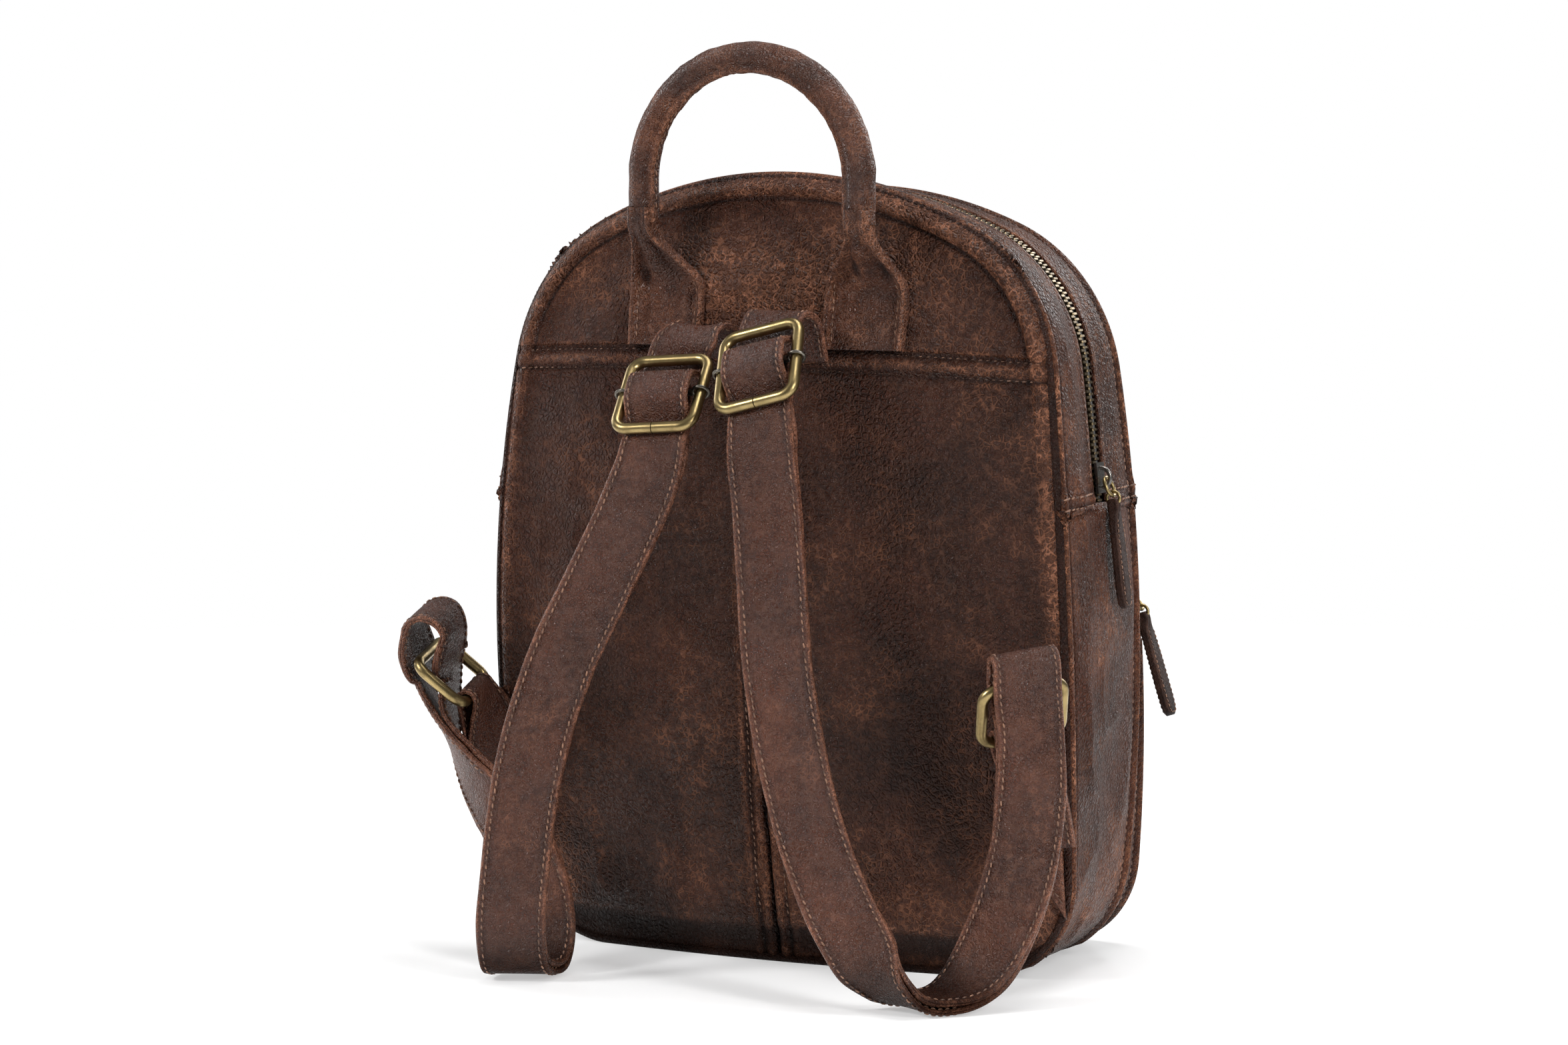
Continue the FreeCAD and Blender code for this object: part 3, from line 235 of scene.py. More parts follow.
class Shader:
    """A node material under construction."""

    def __init__(self, name):
        self.material = bpy.data.materials.new(name)
        self.material.use_nodes = True
        self.tree = self.material.node_tree
        self.surface = self.tree.nodes["Principled BSDF"]
        self.place = self.node("TexCoord").outputs["Object"]

    def node(self, kind, inputs=(), **settings):
        """Add a node; inputs are numbers or other nodes' outputs by name or number."""
        made = self.tree.nodes.new("ShaderNode" + kind)
        for name, value in settings.items():
            setattr(made, name, value)
        for name, value in dict(inputs).items():
            self.put(made.inputs[name], value)
        return made

    def put(self, socket, value):
        """Set a socket to a number or link it to an output."""
        if isinstance(value, bpy.types.NodeSocket):
            self.tree.links.new(value, socket)
        else:
            socket.default_value = value

    def math(self, operation, *values, clamp=False):
        """Combine numbers."""
        return self.node("Math", enumerate(values), operation=operation,
                         use_clamp=clamp).outputs[0]

    def plus(self, *values, clamp=False):
        """Add two numbers."""
        return self.math("ADD", *values, clamp=clamp)

    def times(self, *values, clamp=False):
        """Multiply two numbers."""
        return self.math("MULTIPLY", *values, clamp=clamp)

    def noise(self, step, detail=3, rough=0.55, warp=0):
        """Noise from about 0.2 to 0.8 whose lumps are step millimetres apart."""
        return self.node("TexNoise", {"Vector": self.place, "Scale": 1000 / step,
                                      "Detail": detail, "Roughness": rough,
                                      "Distortion": warp}).outputs["Fac"]

    def cells(self, step, vector):
        """Distance from the edges of cells about step millimetres wide."""
        return self.node("TexVoronoi", {"Vector": vector, "Scale": 1000 / step},
                         feature="DISTANCE_TO_EDGE").outputs["Distance"]

    def ramp(self, value, low, high, start=0.0, end=1.0):
        """Spread a number smoothly between two limits."""
        return self.node("MapRange", {"Value": value, "From Min": low, "From Max": high,
                                      "To Min": start, "To Max": end},
                         interpolation_type="SMOOTHSTEP").outputs["Result"]

    def mix(self, share, first, second):
        """Mix two colours."""
        made = self.node("Mix", data_type="RGBA")
        self.put(made.inputs[0], share)
        for socket, colour in ((made.inputs[6], first), (made.inputs[7], second)):
            self.put(socket, (*colour, 1) if isinstance(colour, tuple) else colour)
        return made.outputs[2]

    def warped(self, step, amount):
        """Coordinates that wander by some millimetres."""
        wander = self.node("TexNoise", {"Vector": self.place, "Scale": 1000 / step}).outputs[1]
        moved = self.node("VectorMath", {0: wander, 1: (amount * MM * 2,) * 3},
                          operation="MULTIPLY").outputs[0]
        return self.node("VectorMath", {0: self.place, 1: moved}, operation="ADD").outputs[0]

    def bump(self, *layers):
        """Chain bump nodes: (height, strength, millimetres) each."""
        normal = None
        for height, strength, depth in layers:
            inputs = {"Height": height, "Strength": strength, "Distance": depth * MM}
            if normal:
                inputs["Normal"] = normal
            normal = self.node("Bump", inputs).outputs["Normal"]
        self.put(self.surface.inputs["Normal"], normal)

    def finish(self, **values):
        """Set the surface's sockets and return the material."""
        for name, value in values.items():
            name = name.replace("_", " ")
            if isinstance(value, tuple) and len(value) == 3:
                value = (*value, 1)
            self.put(self.surface.inputs[name], value)
        return self.material


def leather(name, dark, middle, rubbed, grain=1.7, rub=1.0, depth=0.3, gloss=0.27, shine=0.15):
    """Aged leather: pebbled grain, mottled colour, rubbed patches, a net of tan cracks, and
    painted shade in grooves and towards the floor.
    """
    s = Shader(name)
    wear_and_shade = s.node("Attribute", attribute_name="wear_and_shade").outputs["Fac"]
    bent = s.warped(grain * 4, grain * 0.6)
    border = s.cells(grain, bent)
    pebble = s.ramp(border, 0.02, 0.24)
    small = s.ramp(s.cells(grain * 0.47, bent), 0.0, 0.3)
    patch = s.noise(26, 5, 0.65, 0.6)
    dye_and_shade = s.mix(s.ramp(s.noise(70, 4, 0.6, 0.4), 0.38, 0.62), dark, middle)
    dye_and_shade = s.mix(s.ramp(s.noise(1.1, 2), 0.3, 0.7, 0, 0.35), dye_and_shade, dark)
    region = s.plus(s.times(patch, 0.5), s.times(s.noise(55, 3, 0.6), 0.5))
    amount = s.plus(wear_and_shade, s.ramp(region, 0.40, 0.68, 0.0, 0.42 * rub), clamp=True)
    streak = s.ramp(s.noise(7, 5, 0.7, 0.9), 0.32, 0.6, 0.35, 1.0)
    amount = s.times(amount, streak, clamp=True)
    dye_and_shade = s.mix(s.times(amount, 0.36), dye_and_shade, rubbed)
    net = s.ramp(border, 0.04, 0.19, 1.0, 0.0)
    broken = s.ramp(s.noise(4.2, 3), 0.36, 0.58)
    net = s.times(s.times(net, broken), s.ramp(amount, 0.0, 0.5, 0.34, 0.7))
    dye_and_shade = s.mix(net, dye_and_shade, rubbed)
    crack = s.ramp(s.cells(grain * 1.25, s.warped(grain * 3, grain * 1.6)), 0.035, 0.13, 1.0, 0.0)
    crack = s.times(crack, s.ramp(s.noise(9, 4, 0.65), 0.46, 0.56))
    crack = s.times(crack, s.ramp(amount, 0.3, 0.6))
    pale = tuple(min(1, part * 1.55 + 0.01) for part in rubbed)
    dye_and_shade = s.mix(s.times(crack, 0.85 * rub), dye_and_shade, pale)
    hollow = s.times(s.ramp(pebble, 0.0, 0.7, 0.5, 0.0), s.ramp(amount, 0.0, 0.3, 1.0, 0.0))
    dye_and_shade = s.mix(hollow, dye_and_shade, tuple(part * 0.4 for part in dark))
    # Painted shade: where the per-point value is below zero (seam grooves, stitch rows, groove
    # cords, the bands' edge notches, the handle patches' grooves and fold valleys, and below the
    # back's base fold), the colour darkens towards near black. Its random dips are uneven tone.
    dirt_and_shade = s.times(wear_and_shade, -1.0, clamp=True)
    dye_and_shade = s.mix(s.times(dirt_and_shade, 0.85), dye_and_shade, tuple(part * 0.25 for part in dark))
    height = s.plus(s.times(pebble, s.ramp(s.noise(17, 3), 0.3, 0.7, 0.45, 1)),
                    s.plus(s.times(small, 0.25), s.times(s.noise(0.45, 2), 0.2)))
    s.bump((s.noise(6.5, 4, 0.6, 1.2), 0.5, 1.6), (height, 1.0, depth))
    rough = s.plus(s.ramp(patch, 0.35, 0.7, gloss, gloss + 0.14),
                   s.times(s.math("SUBTRACT", 1.0, pebble), 0.2))
    # Painted shade: over the lowest 30 mm the colour darkens towards near black.
    tall = s.node("SeparateXYZ", {0: s.place}).outputs[2]
    dye_and_shade = s.mix(s.ramp(tall, 0.004, 0.03, 0.32, 1.0), (0.004, 0.0025, 0.002), dye_and_shade)
    return s.finish(Base_Color=dye_and_shade, Roughness=rough,
                    Specular_IOR_Level=s.ramp(tall, 0.003, 0.02, 0.04, shine))


def metal(name, bright, tarnish, rough, spots=0.5):
    """Old plated metal: dark specks and a cloudy tarnish over the bright ground."""
    s = Shader(name)
    speck = s.ramp(s.noise(1.1, 4, 0.7), 0.52, 0.68)
    cloud = s.ramp(s.noise(6, 4, 0.6), 0.35, 0.7)
    amount = s.plus(s.times(speck, spots), s.times(cloud, 0.45), clamp=True)
    scratch = s.noise(1.6, 2)
    s.bump((scratch, 0.08, 0.1))
    dull = s.ramp(s.plus(amount, s.times(scratch, 0.3)), 0.1, 1.2, rough, rough + 0.28)
    return s.finish(Base_Color=s.mix(amount, bright, tarnish), Metallic=1.0, Roughness=dull)


def cloth(name, colour, light, pitch, rough=0.85, sheen=0.2):
    """Woven cloth: two crossing sets of yarns, a little uneven."""
    s = Shader(name)
    axis = s.node("SeparateXYZ", {0: s.place})
    turn = 2 * math.pi * 1000 / pitch
    warp = s.math("SINE", s.times(s.plus(axis.outputs[0], axis.outputs[1]), turn))
    weft = s.math("SINE", s.times(axis.outputs[2], turn))
    weave = s.math("MAXIMUM", warp, weft)
    s.bump((weave, 0.5, 0.12), (s.noise(0.4, 2), 0.4, 0.1))
    shade = s.plus(s.ramp(weave, -1, 1, 0.0, 0.6), s.times(s.noise(12, 3), 0.5), clamp=True)
    return s.finish(Base_Color=s.mix(shade, colour, light), Roughness=rough, Sheen_Weight=sheen)


def thread_material():
    """Waxed thread: twisted strands, a little fuzzy."""
    s = Shader("waxed_thread")
    strand = s.noise(0.35, 2)
    s.bump((strand, 0.5, 0.1))
    colour = s.mix(s.ramp(s.noise(3, 2), 0.3, 0.7), (0.055, 0.026, 0.016), (0.27, 0.14, 0.085))
    return s.finish(Base_Color=colour, Roughness=s.ramp(strand, 0.3, 0.7, 0.45, 0.65))


MAT = {
    "panel_leather": leather("aged_panel_leather", (0.024, 0.0070, 0.0034),
                             (0.055, 0.0160, 0.0078), (0.180, 0.070, 0.035), grain=2.4, depth=1.4,
                             gloss=0.24, shine=0.22),
    "gusset_leather": leather("aged_side_leather", (0.032, 0.0095, 0.0050),
                              (0.082, 0.0235, 0.0110), (0.205, 0.082, 0.041), grain=2.3, rub=1.3,
                              depth=1.4, gloss=0.25, shine=0.15),
    "handle_leather": leather("aged_handle_leather", (0.040, 0.0120, 0.0060),
                              (0.090, 0.0275, 0.0130), (0.225, 0.090, 0.046), grain=2.0, rub=0.8,
                              depth=0.9, gloss=0.22, shine=0.36),
    "strap_leather": leather("aged_strap_leather", (0.040, 0.0120, 0.0064),
                             (0.084, 0.0250, 0.0125), (0.215, 0.086, 0.046), grain=1.7, rub=0.7,
                             depth=0.5, gloss=0.22, shine=0.34),
    "tab_leather": leather("dark_pull_leather", (0.009, 0.0048, 0.0038),
                           (0.026, 0.0110, 0.0078), (0.085, 0.038, 0.024), grain=0.8, rub=0.4,
                           depth=0.12),
    "brass": metal("antique_brass", (0.34, 0.255, 0.115), (0.11, 0.080, 0.036), 0.30, 0.2),
    "zip_teeth": metal("dark_brass_teeth", (0.21, 0.155, 0.085), (0.030, 0.024, 0.018), 0.30),
    "gunmetal": metal("gunmetal", (0.20, 0.185, 0.17), (0.045, 0.040, 0.036), 0.26, 0.35),
    "dark_steel": metal("dark_steel", (0.17, 0.155, 0.13), (0.040, 0.035, 0.028), 0.30),
    "zip_tape": cloth("zip_tape_cloth", (0.012, 0.010, 0.009), (0.030, 0.025, 0.022), 0.7),
    "lining": cloth("lining_cloth", (0.050, 0.036, 0.026), (0.095, 0.070, 0.050), 0.6),
    "foam": cloth("dark_foam", (0.012, 0.010, 0.009), (0.022, 0.019, 0.017), 1.6, 0.95, 0),
    "board": cloth("pressed_board", (0.17, 0.13, 0.09), (0.25, 0.19, 0.13), 2.5, 0.9, 0),
    "cord_core": cloth("cotton_core", (0.40, 0.35, 0.28), (0.55, 0.50, 0.42), 1.1, 0.95, 0.1),
    "thread": thread_material(),
}


# ---- outline of the bag and the pocket

# Levels of the yoke's seam, which arches by SEAM_ARCH, and of the two zips' ends.
YOKE_LEVEL, FLAP_LEVEL, POCKET_LEVEL = 262, 197, 137
SEAM_ARCH = 4.0
# Where the stitches lie: from a piped rim, and above the lower edge of a lapped strip.
RIM_ROW, LAP_ROWS = 7.4, (3.2, 8)
HANDLE_Y = -66
# From stitch to stitch, and half the thread's thickness.
SEAM_PITCH, STRAP_PITCH, SEAM_THREAD = 3.3, 3.2, 0.42

# half width, height, widest level, side, corner, shoulder and top radius
BAG_BACK = np.array([142, 341, 115, 1160, 45, 75, 200], float)
BAG_FRONT = np.array([127, 328, 115, 1160, 45, 75, 200], float)
POCKET_REAR = np.array([121, 198, 90, 1100, 40, 60, 400], float)
POCKET_FRONT = np.array([116, 194, 90, 1100, 40, 60, 400], float)


def arch(numbers):
    """Points (x, z) of the right half of an arched outline, from the base's middle to the top."""
    half, height, widest, side, corner, shoulder, top = numbers
    side_x = half - side
    reach = math.sqrt((side - corner) ** 2 - (widest - corner) ** 2)
    corner_at = np.array([side_x + reach, corner])
    top_at = np.array([0, height - top])
    side_at = np.array([side_x, widest])
    link = side_at - top_at
    span, near, far = np.linalg.norm(link), top - shoulder, side - shoulder
    along = (near ** 2 - far ** 2 + span ** 2) / (2 * span)
    rise = math.sqrt(near ** 2 - along ** 2)
    link = link / span
    shoulder_at = top_at + link * along + np.array([link[1], -link[0]]) * rise
    low, mid, high = (math.degrees(math.atan2(line[1], line[0])) for line in
                      (corner_at - side_at, shoulder_at - side_at, shoulder_at - top_at))
    points = [np.stack([np.linspace(0, corner_at[0], 30, endpoint=False), np.zeros(30)], -1)]
    arcs = ((corner_at, corner, -90, low, 24), (side_at, side, low, mid, 74),
            (shoulder_at, shoulder, mid, high, 36), (top_at, top, high, 90, 30))
    for centre, radius, first, last, count in arcs:
        angle = np.radians(np.linspace(first, last, count, endpoint=radius == top))
        points.append(centre + radius * np.stack([np.cos(angle), np.sin(angle)], -1))
    return np.concatenate(points)


def around(numbers):
    """The whole outline, from the base's middle up the right side, over the top and down."""
    right = arch(numbers)
    return np.concatenate([right, right[::-1][1:] * (-1, 1)])


def between(lines, y):
    """Points (x, y, z) on the side between a rear and a front outline, one y per point."""
    rear, front, start, end = lines
    share = ((y - start) / (end - start))[..., None]
    while rear.ndim < share.ndim:
        rear, front = rear[:, None], front[:, None]
    flat = rear + (front - rear) * share
    return np.stack([flat[..., 0], y, flat[..., 1]], -1)


def way_and_outward(line):
    """Unit vectors along a line round the side, and out of the bag."""
    along = unit(np.gradient(line, axis=0))
    return along, np.stack([along[:, 2], np.zeros(len(line)), -along[:, 0]], -1)


BAG = (around(BAG_BACK), around(BAG_FRONT), -70, 70)
POCKET = (around(POCKET_REAR), around(POCKET_FRONT), 30, 90)


def rim(lines, bulge, start):
    """Where the side meets a bulging panel: one y per outline point."""
    y = np.full(len(lines[0]), float(start))
    for _ in range(6):
        spot = between(lines, y)
        y = bulge(spot[:, 0], spot[:, 2])
    return y


def back_y(x, z):
    """The back panel's bulge."""
    return 638 - np.sqrt(700 ** 2 - x ** 2 - (z - 170) ** 2)


def front_y(x, z):
    """The front panel's bulge."""
    return np.sqrt(845 ** 2 - x ** 2 - (z - 150) ** 2) - 790


def pocket_y(x, z):
    """The pocket face's bulge."""
    return np.sqrt(900 ** 2 - x ** 2 - (z - 100) ** 2) - 816


def edge_distance(x, z, line):
    """Distance of points from a closed line of points."""
    spots = np.stack([x.ravel(), z.ravel()], -1)
    near = np.empty(len(spots))
    for start in range(0, len(spots), 4000):
        part = spots[start:start + 4000]
        near[start:start + 4000] = np.sqrt(
            ((part[:, None] - line[None]) ** 2).sum(-1).min(1))
    return near.reshape(x.shape)


def resample(line, count):
    """Points at equal steps along a line."""
    way = travelled(line)
    return sampled(np.linspace(0, 1, count) * way[-1], way, line)


def spanned(low, high, left, right):
    """A grid of points between four sides; low and high run the same way, so do the others."""
    rows, columns = len(left), len(low)
    v = np.linspace(0, 1, rows)[:, None, None]
    u = np.linspace(0, 1, columns)[None, :, None]
    corners = ((1 - u) * (1 - v) * low[0] + u * (1 - v) * low[-1]
               + (1 - u) * v * high[0] + u * v * high[-1])
    return ((1 - v) * low[None] + v * high[None] + (1 - u) * left[:, None]
            + u * right[:, None] - corners)


def panel(edge, low, high, columns, rows, whole=False):
    """A grid of (x, z) over a panel between two levels, inside the right half of an outline.

    A level of None is the outline itself; whole adds the left half.
    """
    half = edge[:len(edge) // 2 + 1]
    corner = np.argmax(half[:, 0] - half[:, 1])
    shoulder = np.argmax(half[:, 0] + half[:, 1])

    def at(level):
        return np.array([np.interp(level, half[corner:, 1], half[corner:, 0]), level])

    start = half[corner] if low is None else at(low)
    end = half[shoulder] if high is None else at(high)
    climbing = half[corner + 1:]
    inside = (climbing[:, 1] > start[1] + 0.3) & (climbing[:, 1] < end[1] - 0.3)
    side = np.concatenate([[start], climbing[inside], [end]])
    bottom = half[:corner + 1] if low is None else np.array([[0, low], start])
    top = half[shoulder:][::-1] if high is None else np.array([[0, high], end])
    if whole:
        left = side * (-1, 1)
        bottom = np.concatenate([bottom[::-1] * (-1, 1), bottom[1:]])
        top = np.concatenate([top[::-1] * (-1, 1), top[1:]])
    else:
        left = np.array([[0, bottom[0, 1]], [0, top[0, 1]]])
    return spanned(resample(bottom, columns), resample(top, columns),
                   resample(left, rows), resample(side, rows))


# ---- leather skin of the bag

BACK_RIM = rim(BAG, back_y, -50)
FRONT_RIM = rim(BAG, front_y, 50)
POCKET_RIM = rim(POCKET, pocket_y, 75)
BACK_EDGE = between(BAG, BACK_RIM)[:, [0, 2]]
FRONT_EDGE = between(BAG, FRONT_RIM)[:, [0, 2]]
POCKET_EDGE = between(POCKET, POCKET_RIM)[:, [0, 2]]
OUT_OF_BACK = np.array([0, -1, 0])
OUT_OF_FRONT = np.array([0, 1, 0])


def seam(distance, width=1.1, depth=1.2):
    """The fold of a seam: how far the leather sinks at a distance from it."""
    return -depth * hill(distance, width)


def welt(distance, place, width, height):
    """A soft ridge beside a seam."""
    return height * hill(distance - place, width)


def onto(bulge, x, z):
    """Points of a bulged face over x and z."""
    return np.stack([x, bulge(x, z), z], -1)


def all_facing(direction, line):
    """The same outward direction for each point of a line."""
    return line, np.broadcast_to(np.array(direction, float), line.shape)


def crumple(spots, strength):
    """Folds and dents of used leather, in millimetres along the normal."""
    stretched = spots * (1, 1, 0.6)
    broad = 1.6 * noise(spots, 74) + 0.8 * noise(stretched + 90, 33)
    folds = 1 - np.abs(noise(stretched + 7 * np.stack([noise(spots, 40)] * 3, -1), 21))
    fine = 0.16 * noise(spots + 300, 7.5) + 0.1 * noise(spots + 40, 3.6)
    return broad + strength * (1.5 * (folds ** 4 - 0.3) + fine)


def back_surface(x, z, edge, side):
    """Points of the back's outer face and how rubbed they are, with painted shade in its seam
    grooves, along its stitch rows and below its base fold, and with its seams and folds.
    """
    arched = SEAM_ARCH * (1 - (x / 135) ** 2)
    z = z + arched * hill(z - YOKE_LEVEL, 45)
    spots = onto(back_y, x, z)
    rim_band = smooth(z, 215, 285)
    lift = (crumple(spots, 0.5 + 0.9 * smooth(90 - z, 0, 90)) * smooth(edge, 2, 26)
            - 2.2 * (1 - smooth(edge, 0, 4.5)) + welt(edge, 6, 3.2, 0.7)
            + rim_band * (1.6 * hill(edge - 5.2, 3.7, 4) + seam(edge - 10.3, 0.9, 1.1)))
    # Painted shade in the rim band's groove, 10.4 mm in from the edge; the ridge beside it is
    # rubbed lighter.
    wear_and_shade = (0.6 * hill(edge - 5, 4)
            + rim_band * (0.5 * hill(edge - 8.4, 1.1) - 0.9 * hill(edge - 10.4, 0.7)))
    above = z - YOKE_LEVEL - arched
    if side:
        middle = np.abs(x)
        fold = z - 17 - 1.5 * np.sin(x / 31)
        ridge = -5.6 - above
        lift += (seam(middle, 0.9, 1.9) + welt(middle, 3.2, 1.6, 1.1)
                 + seam(middle - 6.6, 0.8, 0.8) + welt(middle, 9.4, 1.8, 0.6)
                 - 0.8 * smooth(-fold, 0, 1.6) + welt(fold, 2.2, 2.2, 0.35)
                 + 1.5 * hill(ridge, 3.2, 4) * smooth(edge, 1, 6))
        tan = hill(z - 34, 15) * (smooth(middle, 70, 112) + smooth(middle, 34, 8))
        # Below the fold at 17 mm, where the base curves under, the strip is painted darker as
        # painted shade; the rest is rubbing and uneven tone.
        wear_and_shade += (0.55 * hill(middle - 3.4, 1.6) + 0.4 * hill(middle - 9.4, 1.6)
                 + 0.25 * hill(fold - 1.2, 1.2) - 0.7 * smooth(-fold, 0, 3)
                 + 0.45 * hill(ridge, 2.0) + 0.5 * tan
                 + 0.3 * noise(spots, 30) * smooth(110 - z, 0, 60))
        # The stitch rows of the yoke's seam band and of the middle seam are painted darker, as
        # painted shade in their grooves.
        for row in (-3.7, 3.7):
            lift += seam(ridge - row, 0.8, 1.2)
            wear_and_shade -= 0.9 * hill(ridge - row, 0.7)
        for row in (0, 6.6):
            wear_and_shade -= 0.9 * hill(middle - row, 0.7)
    else:
        lift += 0.9 * (smooth(above, 0, 1.1) - 0.25 * smooth(above, 10, 30))
        wear_and_shade += 0.55 * hill(above, 1.2) + 0.9 * hill(x, 62) * hill(z - 292, 17)
    spots[..., 1] -= lift
    return spots, wear_and_shade


def back_panel(name, low, high, columns, rows, side, nodes):
    """One piece of the back: yoke, lower right or lower left panel, with its stitches."""
    flat = panel(BACK_EDGE, low, high, columns, rows, whole=not side)
    if side == "left":
        flat = flat * (-1, 1)
    x, z = flat[..., 0], flat[..., 1]
    grid, wear_and_shade = back_surface(x, z, edge_distance(x, z, BACK_EDGE), side)
    shell(name, grid, 2, "root", "panel_leather", wear_and_shade, nodes, OUT_OF_BACK)
    if not side:
        return
    sign = 1 if side == "right" else -1
    spans = [(sign * np.linspace(1.5, 128 - below * 0.2, 160), np.full(160, YOKE_LEVEL - below))
             for below in (1.9, 9.3)]
    spans.append((np.full(180, sign * 6.6), np.linspace(254, 19, 180)))
    lines = []
    for x, z in spans:
        line = back_surface(x, z, edge_distance(x, z, BACK_EDGE), side)[0]
        lines.append(all_facing(OUT_OF_BACK, line - (0, 0.12, 0)))
    stitch_row(name + "_thread", lines, SEAM_PITCH, "root", SEAM_THREAD)


# outline, bulge, columns, where its folds begin, their strength, fall and width of the rim
FACES = {"front": (FRONT_EDGE, front_y, 130, 0, 0.8, 2.4, 3.2),
         "pocket": (POCKET_EDGE, pocket_y, 120, 55, 0.9, 2.2, 3)}


def front_face(name, kind, low, high, rows, body, node, crumpled=1):
    """One piece of the front panel or of the pocket's face."""
    outline, bulge, columns, shift, strength, fall, wide = FACES[kind]
    flat = panel(outline, low, high, columns, rows, whole=True)
    x, z = flat[..., 0], flat[..., 1]
    edge = edge_distance(x, z, outline)
    spots = onto(bulge, x, z)
    spots[..., 1] += (crumpled * crumple(spots + shift, strength) * smooth(edge, 2, 26)
                      - fall * (1 - smooth(edge, 0, 4.5)) + welt(edge, 6, wide, 0.7))
    shell(name, spots, 2, body, "panel_leather", 0.75 * hill(edge - 5, 4), [node], OUT_OF_FRONT)


def side_piece(name, lines, keep, start, end, across, welts, strength, body, nodes,
               slot="gusset_leather", thick=2, deep=0, floor=None, ceiling=None):
    """A strip of the side between two distances in front of the zip, each one or one per point.

    welts says which of its two edges carries a piped ridge; deep sinks the strip. A strip with
    a floor laps over one with a ceiling where they meet.
    """
    start, end = (np.broadcast_to(item, len(lines[0]))[keep, None] for item in (start, end))
    share = np.linspace(0, 1, across)
    share -= np.sin(share * 2 * np.pi) * 0.09
    y = start + (end - start) * share
    grid = between((lines[0][keep], lines[1][keep], lines[2], lines[3]), y)
    z = grid[..., 2] = np.clip(grid[..., 2], floor or 0, ceiling or 400)
    normal = grid_normals(grid)
    if np.sum(normal * (grid - (0, 0, 140)) * (1, 0, 1)) < 0:
        normal = -normal
    lift = np.full(y.shape, -float(deep))
    wear_and_shade = np.zeros(y.shape)
    first, last = y - start, end - y
    if strength:
        calm = smooth(first, 4, 22) * smooth(last, 4, 22)
        puff = calm * smooth(z, 2, 16)
        lift += crumple(grid + 17, strength) * puff + 2.2 * puff * smooth(z, 20, 60)
        wear_and_shade += 0.35 * calm * smooth(noise(grid * (1, 1, 0.4) + 55, 26), 0.05, 0.5)
    for used, distance in ((welts[0], first), (welts[1], last)):
        if used:
            lift += (welt(distance, 3.3, 1.9, 1.5) + seam(distance - RIM_ROW, 1.1, 0.8)
                     - 1.6 * (1 - smooth(distance, 0, 1.6)))
            # The rim's ridge is rubbed lighter, and its stitch row gets painted shade in its
            # groove.
            wear_and_shade += 0.6 * hill(distance - 3.0, 1.8) - 0.9 * hill(distance - RIM_ROW, 1.0)
        elif strength:
            lift += welt(distance, 2, 1.4, 0.4)
            wear_and_shade += 0.35 * hill(distance, 1.4)
    if floor:
        above = z - floor
        lift += 0.9 * smooth(-above, -14, -6) - 0.5 * (1 - smooth(above, 0, 1.2))
        wear_and_shade += 0.6 * hill(above, 1.4) + 0.3 * hill(above - 5.6, 2)
        for row in LAP_ROWS:
            lift += seam(above - row, 0.8, 0.6)
            # Each lapped stitch row gets painted shade in its groove.
            wear_and_shade -= 0.9 * hill(above - row, 0.9)
    if ceiling:
        lift -= 1.3 * smooth(z, ceiling - 3.2, ceiling - 1.8)
    lift = np.where(z < 6, np.minimum(lift, 0.15 * z), lift)
    skin = grid + normal * lift[..., None]
    shell(name, skin, thick, body, slot, wear_and_shade, nodes, normal)
    threads = [along_grid(skin, normal, distance, RIM_ROW, 1)
               for used, distance in ((welts[0], first), (welts[1], last)) if used]
    if floor:
        half = len(skin) // 2
        threads += [along_grid(skin[part], normal[part], above[part], height, 0)
                    for height in LAP_ROWS for part in (slice(0, half), slice(half, None))]
    if threads:
        stitch_row(name + "_thread", threads, SEAM_PITCH, body, SEAM_THREAD)


def along_grid(skin, normal, measure, value, axis):
    """The line over a grid where a measure has a value, looking along one of its axes."""
    if axis == 0:
        skin, normal, measure = (np.swapaxes(item, 0, 1) for item in (skin, normal, measure))
    line, outward = [], []
    for spots, facing, measured in zip(skin, normal, measure):
        order = np.argsort(measured)
        line.append(sampled(value, measured[order], spots[order]))
        outward.append(facing[np.argmin(np.abs(measured - value))])
    outward = np.array(outward)
    return np.array(line) + outward * 0.1, outward


def groove_cord(name, lines, rim_y, body, keep, sign):
    """The welt that lies at the bottom of the groove between a panel and the side, painted dark as
    shade in the groove.
    """
    spot = between(lines, rim_y)
    line = (spot - way_and_outward(spot)[1] * 2.1 + (0, sign * 1.5, 0))[keep]
    line[:, 2] = np.maximum(line[:, 2], 2.0)
    points, faces = tube(line, 2.2, len(keep) == len(spot))
    # Below-zero values paint the cord dark, as painted shade in the groove.
    piece(name, points, faces, body, "gusset_leather", -0.7 + 0.2 * noise(points, 12))


